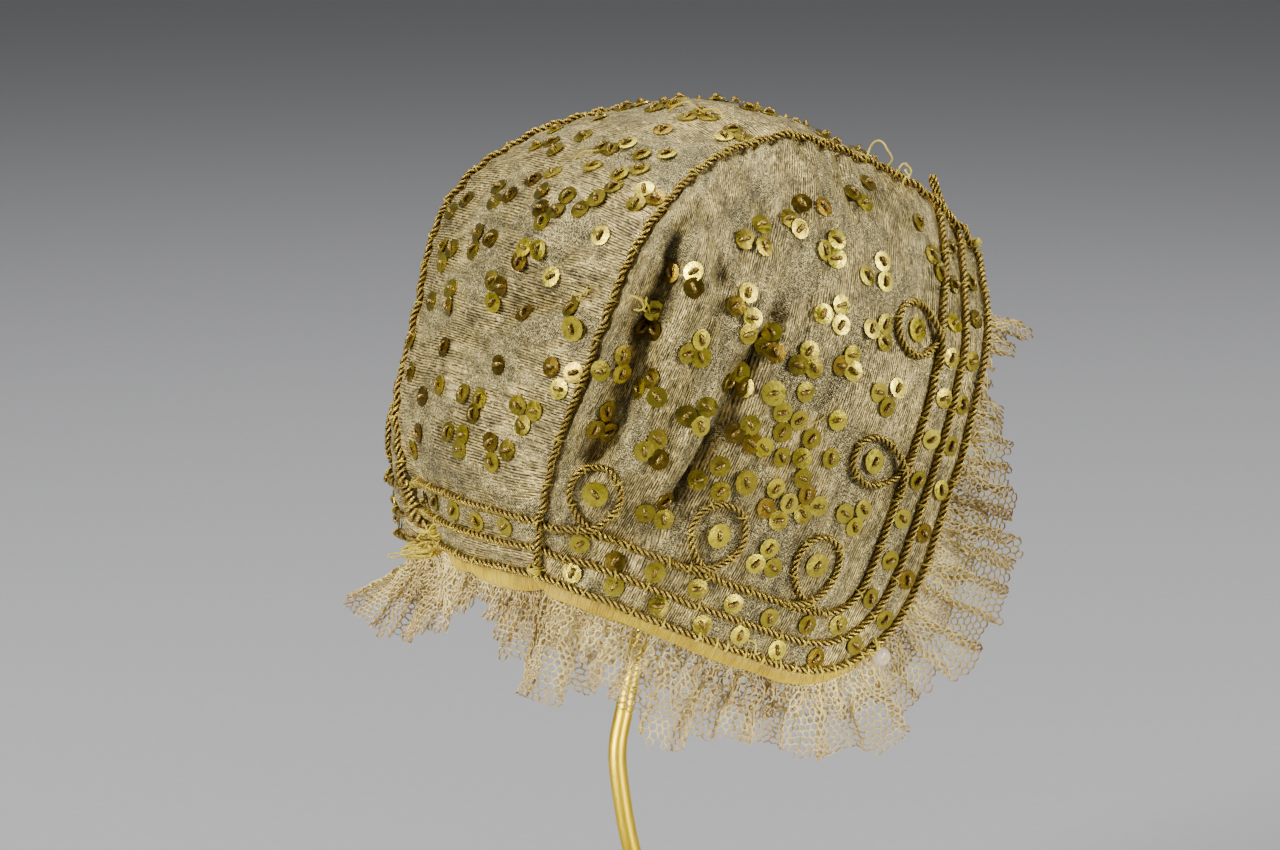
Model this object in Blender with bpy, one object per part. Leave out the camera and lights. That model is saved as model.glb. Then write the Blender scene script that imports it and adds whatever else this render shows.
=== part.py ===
"""A baby bonnet of metal-thread silk on a wire stand.

A centre strip runs from the forehead over the crown to the nape, with a side panel sewn to each
long edge of it. Gold cord covers the seams and runs three times round the edge, where a yellow
lining and a net frill show below it. The script stands alone and is run in Blender.

World axes are in metres, +Z up, with the face opening towards -Y and the wearer's right at -X.
The origin is the middle of the foot's underside. Tables and functions work in millimetres, in the
bonnet's own upright frame, which an empty then leans forward and lifts onto the stand.
"""

import math

import bmesh
import bpy
from mathutils import Vector
from mathutils.bvhtree import BVHTree

MM = 0.001

# The bonnet's place on its stand
LEAN = math.radians(25)
BONNET_Y = -9.0
BONNET_Z = 178.0

# Thicknesses and clearances
CLOTH = 1.5
LINING = 1.0
NET = 1.0
GAP = 0.3
SEAM_GAP = 0.45
LINING_GAP = 0.6
FRILL_GAP = 0.8

# Cords, loops and spangles
CORD_RADIUS = 1.1
CORD_STEP = 7.6
CORD_SIDES = 5
CORD_END_GAP = 1.0
SEAT = 0.35
SEAT_PASSES = 6
RING_RADIUS = 6.0
RING_WIRE = 0.8
RING_STEPS = 12
SPANGLE_RADIUS = 3.5
SPANGLE_HOLE = 0.8
SPANGLE_THICK = 0.5
SPANGLE_SIDES = 10

# Facets along the seams, along a side panel's free edge, across the strip, and from a side
# panel's middle to its edge
SEAM_STEPS = 22
EDGE_STEPS = 22
STRIP_STEPS = 8
PANEL_RINGS = (0.2, 0.4, 0.58, 0.74, 0.88, 1.0)
LINING_SEAM_STEPS = 14
LINING_EDGE_STEPS = 20
LINING_ACROSS = 4
LINING_RINGS = (0.42, 0.78, 1.0)
LINING_SLACK = 1.5
EDGE_SAMPLES = 240

# Points between two rows of a smooth curve, points along a fine one, and the angle past which an
# edge is drawn sharp
CURVE_STEPS = 16
FINE_STEPS = 300
SHARP_ANGLE = math.radians(40)

# The seam between the strip and a side panel, from the forehead over the crown to the nape.
# The half width is the strip's there, the rise is how far its middle stands above the seam, and
# the lean is how steeply the side panel turns away from flat where it meets the seam.
#   y, z, half width, rise, lean in degrees
SEAM = (
    (-43.0, 56.5, 31.0, 3.5, 35),
    (-20.0, 64.5, 30.5, 4.5, 55),
    (6.0, 65.3, 31.0, 5.0, 66),
    (24.0, 62.8, 32.0, 5.0, 70),
    (39.0, 54.0, 34.0, 5.0, 72),
    (50.5, 43.5, 38.5, 5.5, 74),
    (60.5, 26.0, 43.0, 6.5, 76),
    (61.5, 8.0, 43.0, 8.0, 76),
    (59.5, -8.0, 40.0, 8.0, 76),
    (56.5, -32.0, 36.0, 7.0, 76),
    (44.0, -57.0, 27.5, 5.0, 76),
)

# The side panel's free edge, from the nape along the neck to the front corner, which is a round
# arc, and up the face to the forehead.
#   y, z, half width, lean in degrees
NECK_EDGE = (
    (44.0, -57.0, 27.5, 76),
    (39.5, -57.0, 37.5, 66),
    (31.5, -57.0, 45.5, 54),
    (19.0, -57.3, 51.0, 42),
    (4.0, -57.3, 54.3, 34),
    (-12.0, -57.0, 55.5, 30),
)
CORNER_RADIUS = 30.0
CORNER_AT = (-12.0, -27.0, 56.0, 28)
FACE_EDGE = (
    (-42.0, -27.0, 56.0, 28),
    (-41.5, -4.0, 56.0, 28),
    (-41.5, 20.0, 53.0, 30),
    (-42.5, 40.0, 45.0, 33),
    (-43.0, 56.5, 31.0, 35),
)

# The fullest point of a side panel
POLE_Y = 8.0
POLE_Z = 3.0
POLE_X = 61.0

# Folds and rolls of the cloth. Each is a line from its start to its end, sunk (or raised, where
# the depth is negative) along the surface, with a soft edge of the width given.
#   side, start y, start z, end y, end z, depth, width
PANEL_FOLDS = (
    (-1, 57, 24, 56, 5, 3.0, 4.5),
    (-1, 56, 5, 53, -26, 3.2, 4.5),
    (-1, 51, 30, 50, -20, -1.4, 5.0),
    (-1, 29, 22, 32, 3, 1.6, 4.5),
    (-1, 32, 3, 32, -34, 1.8, 4.5),
    (1, 50, 20, 52, -16, 2.2, 6.0),
    (1, 24, 12, 30, -26, 1.6, 6.0),
)
#   start x, start z, end x, end z, depth, width
STRIP_FOLDS = (
    (-34, 18, -6, -2, 1.8, 7.0),
    (-28, -22, 6, -14, 1.2, 6.0),
    (6, 40, 26, 26, 1.2, 7.0),
)

# The border's cords: how far in from the edge each runs along the neck, and along the face.
#   name, neck, face
BORDER_CORDS = (
    ("edge_cord", 1.3, 1.3),
    ("middle_cord", 8.0, 9.2),
    ("inner_cord", 15.6, 18.0),
)

# The middles of the cord loops on each side panel, from the nape to the forehead.
#   y, z
RINGS = ((47.5, -31.0), (19.5, -33.0), (-8.0, -31.0), (-14.0, -4.0), (-16.5, 31.0))

# A distance well outside the bonnet, from which a loop's middle is found on the cloth
FAR_OUTSIDE = 200.0

# How far the lining shows beyond the edge, along the neck and along the face
LINING_SHOWS_NECK = 3.2
LINING_SHOWS_FACE = 1.2

# The frill of net: its width from its front end round the corner to the nape, and how far it
# stands off the line of the wall. It is tucked behind the lining, and its depth is set in shares
# of the part that shows, of which one is open. Its flutes drift, so that no two are quite alike.
#   share of the way, width, flare in degrees
FRILL = (
    (0.0, 11.0, 12),
    (0.14, 13.0, 14),
    (0.3, 20.0, 18),
    (0.42, 27.0, 20),
    (0.7, 28.0, 16),
    (0.86, 28.0, 18),
    (1.0, 25.0, 26),
)
FRILL_TOP_Z = 24.0
FRILL_TUCK = 1.5
FRILL_STEPS = 100
FRILL_ROWS = (0.0, 0.25, 0.75, 1.0)
FRILL_OPEN_ROWS = (2,)
FLUTE = 18.0
FLUTE_DEPTH = 5.0
FLUTE_DRIFT = 0.9
FLUTE_DRIFT_LENGTH = 107.0
FLUTE_SWAY = 0.3
FRILL_FULL_WIDTH = 28.0

# The bead button on the right front corner: how far round the corner's arc, out past the edge, and
# up from the wall's face
BUTTON_TURN = 55.0
BUTTON_OUT = 2.0
BUTTON_UP = 1.8
BUTTON_RADIUS = 2.8

# The stand: a round foot, a bent rod and a plain dome under the crown
FOOT_RADIUS = 45.0
FOOT_HEIGHT = 8.0
FOOT_BEVEL = 1.5
ROD_RADIUS = 2.3
REST_RADIUS = 24.0
REST_CURVE = 36.0
REST_THICK = 5.0
REST_BEVEL = 2.0
REST_TILT = math.radians(-8)
REST_Y = 12.0
REST_TOP = 66.2
FOOT_SIDES = 32
ROD_SIDES = 10
ROD_STEPS = 24
REST_SIDES = 20
REST_RINGS = (0.35, 0.65, 0.86, 1.0)
#   x, y, z of the rod's middle line, upwards from the foot
ROD_ROUTE = (
    (0.0, 0.0, 8.3),
    (0.0, 1.0, 24.0),
    (0.0, 5.2, 42.0),
    (0.0, 11.9, 61.0),
    (0.0, 14.6, 76.0),
    (0.0, 15.5, 88.0),
    (0.0, 13.4, 98.5),
    (0.0, 8.6, 118.0),
    (0.0, -6.6, 174.0),
    (0.0, -21.9, 228.8),
)

CLOTH_COLOUR = (0.36, 0.31, 0.21)
LINING_COLOUR = (0.62, 0.47, 0.09)
CORD_COLOUR = (0.36, 0.19, 0.04)
SPANGLE_COLOUR = (0.50, 0.42, 0.10)
NET_COLOUR = (0.70, 0.60, 0.42)
BUTTON_COLOUR = (0.75, 0.65, 0.58)
BRASS_COLOUR = (0.72, 0.46, 0.12)


def clear_scene():
    for thing in list(bpy.data.objects):
        bpy.data.objects.remove(thing, do_unlink=True)


def material(name, colour, roughness, metallic):
    made = bpy.data.materials.new(name)
    made.use_nodes = True
    shader = made.node_tree.nodes["Principled BSDF"]
    shader.inputs["Base Color"].default_value = (*colour, 1.0)
    shader.inputs["Roughness"].default_value = roughness
    shader.inputs["Metallic"].default_value = metallic
    return made


def add_object(name, points, faces, finish, parent):
    """One named object from points in millimetres."""
    mesh = bpy.data.meshes.new(name)
    mesh.from_pydata([Vector(point) * MM for point in points], [], faces)
    mesh.materials.append(finish)
    mesh.shade_smooth()
    mesh.set_sharp_from_angle(angle=SHARP_ANGLE)
    made = bpy.data.objects.new(name, mesh)
    made.parent = parent
    bpy.context.collection.objects.link(made)
    return made


def ease(value):
    """A soft step from 0 to 1."""
    value = min(1.0, max(0.0, value))
    return value * value * (3 - 2 * value)


def read_table(rows, share):
    """The table's other columns at a share of the way, read from its first column."""
    for low, high in zip(rows, rows[1:]):
        if share <= high[0]:
            part = (share - low[0]) / (high[0] - low[0])
            return [a + (b - a) * part for a, b in zip(low[1:], high[1:])]
    return list(rows[-1][1:])


def resample(points, steps, closed=False):
    """Points (or rows) at even steps of a line's length, measured in their first columns."""
    line = [tuple(point) for point in points]
    if closed:
        line.append(line[0])
    lengths = [0.0]
    for a, b in zip(line, line[1:]):
        lengths.append(lengths[-1] + math.dist(a[:3], b[:3]))
    made = []
    index = 0
    for step in range(steps if closed else steps + 1):
        target = lengths[-1] * step / steps
        while index < len(line) - 2 and lengths[index + 1] < target:
            index += 1
        span = lengths[index + 1] - lengths[index]
        part = (target - lengths[index]) / span if span else 0.0
        made.append(tuple(a + (b - a) * part for a, b in zip(line[index], line[index + 1])))
    return made


def smooth_curve(rows, steps):
    """A smooth curve through the rows, read at even steps of its length."""
    first = tuple(2 * a - b for a, b in zip(rows[0], rows[1]))
    last = tuple(2 * a - b for a, b in zip(rows[-1], rows[-2]))
    guide = (first, *rows, last)
    fine = []
    for before, start, end, after in zip(guide, guide[1:], guide[2:], guide[3:]):
        for step in range(CURVE_STEPS):
            t = step / CURVE_STEPS
            fine.append(tuple(
                0.5 * (2 * b + (c - a) * t + (2 * a - 5 * b + 4 * c - d) * t * t
                       + (3 * b - a - 3 * c + d) * t * t * t)
                for a, b, c, d in zip(before, start, end, after)))
    fine.append(tuple(rows[-1]))
    return resample(fine, steps)


def free_edge():
    """The rows of a side panel's free edge, with its front corner as an arc."""
    y, z, half, lean = CORNER_AT
    corner = []
    for angle in (22.5, 45.0, 67.5):
        turn = math.radians(angle)
        corner.append((y - CORNER_RADIUS * math.sin(turn), z - CORNER_RADIUS * math.cos(turn), half, lean))
    return (*NECK_EDGE, *corner, *FACE_EDGE)


def fold_depth(folds, across, up, slack):
    """How far the folds sink the cloth at one place. A slack lining hangs deeper and wider below
    each fold, and spans the rolls."""
    depth = 0.0
    for start_a, start_z, end_a, end_z, sink, width in folds:
        run_a, run_z = end_a - start_a, end_z - start_z
        along = ((across - start_a) * run_a + (up - start_z) * run_z) / (run_a ** 2 + run_z ** 2)
        along = min(1.0, max(0.0, along))
        away = math.hypot(across - start_a - along * run_a, up - start_z - along * run_z)
        if sink > 0 or slack == 1:
            depth += sink * slack * math.exp(-(away / width / slack) ** 2)
    return depth


def panel_points(side, seam_steps, edge_steps, rings):
    """A side panel's rings of points, each running down the seam and back along the free edge."""
    seam = [(y, z, half, lean) for y, z, half, rise, lean in smooth_curve(SEAM, seam_steps)]
    edge = smooth_curve(free_edge(), edge_steps)
    made = []
    for ring in rings:
        row = []
        for y, z, half, lean in seam[:-1] + edge[:-1]:
            turn = math.radians(lean)
            spread = math.sin(turn * ring) / math.sin(turn)
            fall = (1 - math.cos(turn * ring)) / (1 - math.cos(turn))
            row.append(Vector((
                side * (POLE_X - (POLE_X - half) * fall),
                POLE_Y + (y - POLE_Y) * spread,
                POLE_Z + (z - POLE_Z) * spread)))
        made.append(row)
    return made


def strip_points(seam_steps, across_steps):
    """The strip's rows of points, from the forehead to the nape, each from right to left."""
    seam = smooth_curve(SEAM, seam_steps)
    made = []
    for index, (y, z, half, rise, lean) in enumerate(seam):
        before = seam[max(0, index - 1)]
        after = seam[min(len(seam) - 1, index + 1)]
        out = Vector((0.0, before[1] - after[1], after[0] - before[0])).normalized()
        row = []
        for step in range(across_steps + 1):
            share = 2 * step / across_steps - 1
            row.append(Vector((half * share, y, z)) + out * rise * (1 - share ** 2))
        made.append(row)
    return made


def from_middle(point):
    return Vector((point.x, point.y - POLE_Y, point.z - POLE_Z))


def grid_normals(grid, wrap):
    """The unit normal at each point of a grid, on the outer side."""
    made = []
    for i, row in enumerate(grid):
        above = grid[max(0, i - 1)]
        below = grid[min(len(grid) - 1, i + 1)]
        normals = []
        for j in range(len(row)):
            left = row[j - 1] if wrap or j else row[0]
            right = row[(j + 1) % len(row)] if wrap else row[min(len(row) - 1, j + 1)]
            normal = (right - left).cross(below[j] - above[j]).normalized()
            normals.append(normal if normal.dot(from_middle(row[j])) > 0 else -normal)
        made.append(normals)
    return made


def bonnet_skin(seam_steps, edge_steps, across_steps, rings, slack=1.0):
    """The strip's and both side panels' points and normals, which agree along the seams."""
    strip = strip_points(seam_steps, across_steps)
    strip_normals = grid_normals(strip, False)
    panels = {}
    for side in (-1, 1):
        panel = panel_points(side, seam_steps, edge_steps, rings)
        normals = grid_normals(panel, True)
        column = 0 if side < 0 else across_steps
        for index in range(seam_steps + 1):
            shared = (strip_normals[index][column] + normals[-1][index]).normalized()
            strip_normals[index][column] = shared
            normals[-1][index] = shared
        folds = [fold[1:] for fold in PANEL_FOLDS if fold[0] == side]
        for ring, row, row_normals in zip(rings, panel, normals):
            hold = 1 - ring ** 6
            for index, normal in enumerate(row_normals):
                depth = fold_depth(folds, row[index].y, row[index].z, slack)
                row[index] = row[index] - normal * hold * depth
        panels[side] = (panel, normals)
    for row, row_normals in zip(strip, strip_normals):
        for index, normal in enumerate(row_normals):
            hold = 1 - (2 * index / across_steps - 1) ** 6
            depth = fold_depth(STRIP_FOLDS, row[index].x, row[index].z, slack)
            row[index] = row[index] - normal * hold * depth
    return (strip, strip_normals), panels


def edge_loop(skin):
    """The bonnet's whole edge, once round from the middle of the forehead by way of the right side:
    each point with the wall's normal there."""
    (strip, strip_normals), panels = skin
    middle = len(strip[0]) // 2
    seam_steps = len(strip) - 1
    loop = []
    loop += list(zip(strip[0], strip_normals[0]))[middle:0:-1]
    for side in (-1, 1):
        panel, normals = panels[side]
        edge = [(panel[-1][0], normals[-1][0])]
        edge += list(zip(panel[-1], normals[-1]))[:seam_steps:-1]
        if side > 0:
            edge += [(panel[-1][seam_steps], normals[-1][seam_steps])]
            edge.reverse()
            loop += edge
        else:
            loop += edge
            loop += list(zip(strip[-1], strip_normals[-1]))[:-1]
    loop += list(zip(strip[0], strip_normals[0]))[-2:middle:-1]
    return loop


def edge_frames(loop, steps):
    """The edge at even steps: its point, the wall's normal, and the way out past the edge."""
    rows = resample([(*point, *normal) for point, normal in loop], steps, closed=True)
    frames = []
    for index, row in enumerate(rows):
        near = [rows[(index + shift) % steps] for shift in (-2, -1, 0, 1, 2)]
        normal = sum((Vector(other[3:]) for other in near), Vector()).normalized()
        along = (Vector(near[3][:3]) - Vector(near[1][:3])).normalized()
        frames.append((Vector(row[:3]), normal, normal.cross(along).normalized()))
    return frames


def thicken(name, outer, inner, faces, finish, parent):
    """A closed wall between an outer and an inner set of points that share their faces."""
    count = len(outer)
    edges = {}
    for face in faces:
        for a, b in zip(face, face[1:] + face[:1]):
            edges[(a, b)] = True
    sides = [(b, a, a + count, b + count) for a, b in edges if (b, a) not in edges]
    back = [tuple(index + count for index in reversed(face)) for face in faces]
    add_object(name, outer + inner, faces + back + sides, finish, parent)


def grid_faces(rows, columns, wrap, start=0):
    """The quads of a grid whose points are stored row by row."""
    faces = []
    for i in range(rows - 1):
        for j in range(columns if wrap else columns - 1):
            k = (j + 1) % columns
            a = start + i * columns
            b = start + (i + 1) * columns
            faces.append((a + j, b + j, b + k, a + k))
    return faces


def step_back(points, toward):
    """The points of a sewn edge, drawn back by half the seam's gap."""
    return [a + (b - a).normalized() * SEAM_GAP / 2 for a, b in zip(points, toward)]


def make_strip(strip, normals, finish, parent):
    columns = list(zip(*strip))
    columns[0], columns[-1] = step_back(columns[0], columns[1]), step_back(columns[-1], columns[-2])
    outer = [point for row in zip(*columns) for point in row]
    flat = [normal for row in normals for normal in row]
    inner = [point - normal * CLOTH for point, normal in zip(outer, flat)]
    faces = [tuple(reversed(face)) for face in grid_faces(len(strip), len(strip[0]), False)]
    thicken("crown_strip", outer, inner, faces, finish, parent)


def panel_pole(panel, normals):
    """The middle of a side panel, and the way up from it."""
    middle = sum(panel[0], Vector()) / len(panel[0])
    return middle, sum(normals[0], Vector()).normalized()


def panel_faces(side, rings, around, start):
    """A side panel's faces: a fan round its pole, the first point, and then its rings."""
    faces = [(start, start + 1 + j, start + 1 + (j + 1) % around) for j in range(around)]
    faces += grid_faces(rings, around, True, start + 1)
    return [tuple(reversed(face)) for face in faces] if side > 0 else faces


def make_panel(name, side, panel, normals, finish, parent):
    rim = panel[-1]
    sewn = step_back(rim[:SEAM_STEPS + 1], panel[-2][:SEAM_STEPS + 1])
    rows = panel[:-1] + [sewn + rim[SEAM_STEPS + 1:]]
    pole, pole_normal = panel_pole(panel, normals)
    outer = [pole] + [point for row in rows for point in row]
    flat = [pole_normal] + [normal for row in normals for normal in row]
    inner = [point - normal * CLOTH for point, normal in zip(outer, flat)]
    thicken(name, outer, inner, panel_faces(side, len(rows), len(rim), 0), finish, parent)


def whole_surface(skin, under):
    """The points and faces of the strip and both panels together, at a depth under the cloth."""
    (strip, strip_normals), panels = skin
    points = [p - n * under for row, ns in zip(strip, strip_normals) for p, n in zip(row, ns)]
    faces = [tuple(reversed(face)) for face in grid_faces(len(strip), len(strip[0]), False)]
    for side in (-1, 1):
        panel, normals = panels[side]
        pole, pole_normal = panel_pole(panel, normals)
        faces += panel_faces(side, len(panel), len(panel[0]), len(points))
        points.append(pole - pole_normal * under)
        points += [p - n * under for row, ns in zip(panel, normals) for p, n in zip(row, ns)]
    return points, faces


def make_lining(finish, parent):
    """One thin shell inside the strip and the panels, whose rim runs out past their edge."""
    skin = bonnet_skin(LINING_SEAM_STEPS, LINING_EDGE_STEPS, LINING_ACROSS, LINING_RINGS,
                       LINING_SLACK)
    under = CLOTH + LINING_GAP
    points, faces = whole_surface(skin, under)
    loop = edge_loop(skin)
    first = len(points)
    count = len(loop)
    for index, (point, normal) in enumerate(loop):
        along = loop[(index + 1) % count][0] - loop[index - 1][0]
        out = normal.cross(along).normalized()
        points.append(point - normal * under)
        points.append(point - normal * under + out * lining_shows(point))
    for index in range(count):
        a = first + 2 * index
        b = first + 2 * ((index + 1) % count)
        faces.append((a, a + 1, b + 1, b))
    lining = add_object("lining", points, faces, finish, parent)
    bm = bmesh.new()
    bm.from_mesh(lining.data)
    bmesh.ops.remove_doubles(bm, verts=bm.verts, dist=0.02 * MM)
    bmesh.ops.recalc_face_normals(bm, faces=bm.faces)
    bm.to_mesh(lining.data)
    bm.free()
    shell = lining.modifiers.new("thickness", "SOLIDIFY")
    shell.thickness = LINING * MM
    shell.offset = -1


def neck_share(point):
    """1 along the neck, 0 along the face and the forehead, and between them on the corner."""
    return 1 - ease((point.z - CORNER_AT[1] + CORNER_RADIUS) / CORNER_RADIUS)


def lining_shows(point):
    share = neck_share(point)
    return LINING_SHOWS_FACE + (LINING_SHOWS_NECK - LINING_SHOWS_FACE) * share


def push_out(point, tree, height):
    """The move that brings a point out to its height above the cloth, or none if it is clear."""
    near, normal, face, away = tree.find_nearest(point)
    offset = point - near
    if offset.dot(normal) < 0:
        return normal * (height + away)
    if away < height:
        return (offset if away else normal).normalized() * (height - away)
    return Vector()


def seat_path(path, tree, height, closed):
    """Lay a line over the cloth with its middle at a height above it: its points, and the ways up."""
    count = len(path)
    raised = []
    for point in path:
        place, normal, face, away = tree.find_nearest(Vector(point))
        raised.append((place + normal * height, normal))
    places = []
    ups = []
    for index, (place, normal) in enumerate(raised):
        low = (index - 1) % count if closed else max(0, index - 1)
        high = (index + 1) % count if closed else min(count - 1, index + 1)
        places.append(place * 0.5 + (raised[low][0] + raised[high][0]) * 0.25)
        ups.append((normal * 2 + raised[low][1] + raised[high][1]).normalized())
    for turn in range(SEAT_PASSES):
        for index in range(count if closed else count - 1):
            high = (index + 1) % count
            for part in (0.0, 0.25, 0.5, 0.75, 1.0):
                move = push_out(places[index].lerp(places[high], part), tree, height)
                places[index] += move * (1 - part)
                places[high] += move * part
    return list(zip(places, ups))


def make_tube(name, seated, radius, sides, closed, finish, parent):
    """A round cord along a seated line."""
    count = len(seated)
    points = []
    for index, (place, up) in enumerate(seated):
        low = (index - 1) % count if closed else max(0, index - 1)
        high = (index + 1) % count if closed else min(count - 1, index + 1)
        along = (seated[high][0] - seated[low][0]).normalized()
        across = along.cross(up).normalized()
        rise = across.cross(along)
        for side in range(sides):
            turn = 2 * math.pi * side / sides + math.pi / 2
            points.append(place + across * math.cos(turn) * radius + rise * math.sin(turn) * radius)
    faces = grid_faces(count, sides, True)
    if closed:
        last = (count - 1) * sides
        faces += [(last + j, j, (j + 1) % sides, last + (j + 1) % sides) for j in range(sides)]
    else:
        faces.append(tuple(range(sides)))
        faces.append(tuple(reversed(range((count - 1) * sides, count * sides))))
    add_object(name, points, faces, finish, parent)


def make_border_cords(frames, tree, finish, parent):
    for name, neck, face in BORDER_CORDS:
        path = []
        for point, normal, out in frames:
            inset = face + (neck - face) * neck_share(point)
            path.append(point - out * inset)
        length = sum(math.dist(a, b) for a, b in zip(path, path[1:] + path[:1]))
        path = resample(path, round(length / CORD_STEP), closed=True)
        seated = seat_path(path, tree, CORD_RADIUS + SEAT, True)
        make_tube(name, seated, CORD_RADIUS, CORD_SIDES, True, finish, parent)


def make_seam_cords(tree, finish, parent):
    """The cords over the two seams, which end against the innermost border cord."""
    inner_neck, inner_face = BORDER_CORDS[-1][1:]
    for name, side in (("seam_cord_right", -1), ("seam_cord_left", 1)):
        fine = [Vector((side * half, y, z)) for y, z, half, rise, lean in smooth_curve(SEAM, FINE_STEPS)]
        walked = 0.0
        lengths = [0.0]
        for a, b in zip(fine, fine[1:]):
            walked += (b - a).length
            lengths.append(walked)
        start = inner_face + 2 * CORD_RADIUS + CORD_END_GAP
        end = walked - inner_neck - 2 * CORD_RADIUS - CORD_END_GAP
        path = [point for point, at in zip(fine, lengths) if start < at < end]
        path = resample(path, round((end - start) / CORD_STEP))
        seated = seat_path(path, tree, CORD_RADIUS + SEAT, False)
        make_tube(name, seated, CORD_RADIUS, CORD_SIDES, False, finish, parent)


def level_frame(normal):
    """Two unit directions across a normal, the first along the bonnet from front to back."""
    back = Vector((0.0, 1.0, 0.0))
    across = (back - normal * back.dot(normal)).normalized()
    return across, normal.cross(across)


def ring_path(tree, middle, across, along):
    path = []
    for step in range(RING_STEPS):
        turn = 2 * math.pi * step / RING_STEPS
        path.append(middle + (across * math.cos(turn) + along * math.sin(turn)) * RING_RADIUS)
    return seat_path(path, tree, RING_WIRE + SEAT, True)


def make_spangle(name, middle, normal, finish, parent):
    """A flat round spangle with a hole, square to the normal, its underside at the middle."""
    across, along = level_frame(normal)
    points = []
    for radius, height in ((SPANGLE_HOLE, SPANGLE_THICK), (SPANGLE_RADIUS, SPANGLE_THICK),
                           (SPANGLE_RADIUS, 0), (SPANGLE_HOLE, 0)):
        for step in range(SPANGLE_SIDES):
            turn = 2 * math.pi * step / SPANGLE_SIDES
            points.append(middle + across * math.cos(turn) * radius + along * math.sin(turn) * radius
                          + normal * height)
    faces = grid_faces(4, SPANGLE_SIDES, True)
    last = 3 * SPANGLE_SIDES
    for j in range(SPANGLE_SIDES):
        k = (j + 1) % SPANGLE_SIDES
        faces.append((last + j, j, k, last + k))
    add_object(name, points, faces, finish, parent)


def make_rings(tree, cord, brass, parent):
    """The loops of cord inside the border, each with a large spangle in its middle."""
    number = 0
    for side in (-1, 1):
        for y, z in RINGS:
            number += 1
            start = Vector((side * FAR_OUTSIDE, y, z))
            middle, normal, face, away = tree.ray_cast(start, Vector((-side, 0, 0)))
            hits = [(middle, normal)]
            for shift_y, shift_z in ((1, 0), (-1, 0), (0, 1), (0, -1)):
                near = start + Vector((0, shift_y, shift_z)) * SPANGLE_RADIUS
                hits.append(tree.ray_cast(near, Vector((-side, 0, 0)))[:2])
            normal = sum((hit[1] for hit in hits), Vector()).normalized()
            across, along = level_frame(normal)
            seated = ring_path(tree, middle, across, along)
            make_tube(f"ring_cord_{number}", seated, RING_WIRE, CORD_SIDES, True, cord, parent)
            lift = 0.0
            for step in range(SPANGLE_SIDES):
                turn = 2 * math.pi * step / SPANGLE_SIDES
                rim = middle + (across * math.cos(turn) + along * math.sin(turn)) * SPANGLE_RADIUS
                under = tree.ray_cast(rim + normal * RING_RADIUS, -normal)[0]
                lift = max(lift, (under - middle).dot(normal))
            make_spangle(f"ring_spangle_{number}", middle + normal * (lift + GAP), normal, brass, parent)


def make_frill(frames, finish, parent):
    """The net frill, which starts inside the lining's rim and flares into flutes below it."""
    low = [frame for frame in frames if frame[0].z < FRILL_TOP_Z]
    rows = resample([(*point, *normal, *out) for point, normal, out in low], FRILL_STEPS)
    under = CLOTH + LINING_GAP + LINING + FRILL_GAP + NET / 2
    points = []
    walked = 0.0
    for index, row in enumerate(rows):
        point, normal, out = Vector(row[:3]), Vector(row[3:6]).normalized(), Vector(row[6:]).normalized()
        before = Vector(rows[max(0, index - 1)][:3])
        after = Vector(rows[min(FRILL_STEPS, index + 1)][:3])
        along = (after - before).normalized()
        walked += (point - before).length
        share = min(index, FRILL_STEPS - index) / (FRILL_STEPS / 2)
        width, flare = read_table(FRILL, share)
        clear = lining_shows(point) + FRILL_GAP + NET
        drift = FLUTE_DRIFT * math.sin(2 * math.pi * walked / FLUTE_DRIFT_LENGTH)
        phase = 2 * math.pi * walked / FLUTE + drift
        lean = math.tan(math.radians(flare))
        points.append(point - out * FRILL_TUCK - normal * under)
        for part in FRILL_ROWS:
            reach = clear + (width - clear) * part
            depth = FLUTE_DEPTH * ease(part) * width / FRILL_FULL_WIDTH
            height = lean * (reach - clear) + depth * math.sin(phase) - under
            sway = FLUTE_SWAY * depth * math.sin(2 * phase)
            points.append(point + out * reach + normal * height + along * sway)
    across = len(FRILL_ROWS) + 1
    faces = []
    for index in range(FRILL_STEPS):
        for part in range(across - 1):
            if index % 2 and part in FRILL_OPEN_ROWS and 0 < index < FRILL_STEPS - 1:
                continue
            a = index * across + part
            faces.append((a, a + across, a + across + 1, a + 1))
    frill = add_object("net_ruffle", points, faces, finish, parent)
    shell = frill.modifiers.new("thickness", "SOLIDIFY")
    shell.thickness = NET * MM
    shell.offset = 0


def make_button(frames, finish, parent):
    """The small bead button sewn over the edge at the right front corner."""
    turn = math.radians(BUTTON_TURN)
    goal_y = CORNER_AT[0] - CORNER_RADIUS * math.sin(turn)
    goal_z = CORNER_AT[1] - CORNER_RADIUS * math.cos(turn)
    right = [frame for frame in frames if frame[0].x < 0]
    point, normal, out = min(right, key=lambda f: math.hypot(f[0].y - goal_y, f[0].z - goal_z))
    middle = point + out * BUTTON_OUT + normal * BUTTON_UP
    bm = bmesh.new()
    bmesh.ops.create_uvsphere(bm, u_segments=10, v_segments=6, radius=BUTTON_RADIUS * MM)
    bmesh.ops.translate(bm, verts=bm.verts, vec=middle * MM)
    mesh = bpy.data.meshes.new("corner_button")
    bm.to_mesh(mesh)
    bm.free()
    mesh.materials.append(finish)
    mesh.shade_smooth()
    button = bpy.data.objects.new("corner_button", mesh)
    button.parent = parent
    bpy.context.collection.objects.link(button)


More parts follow.
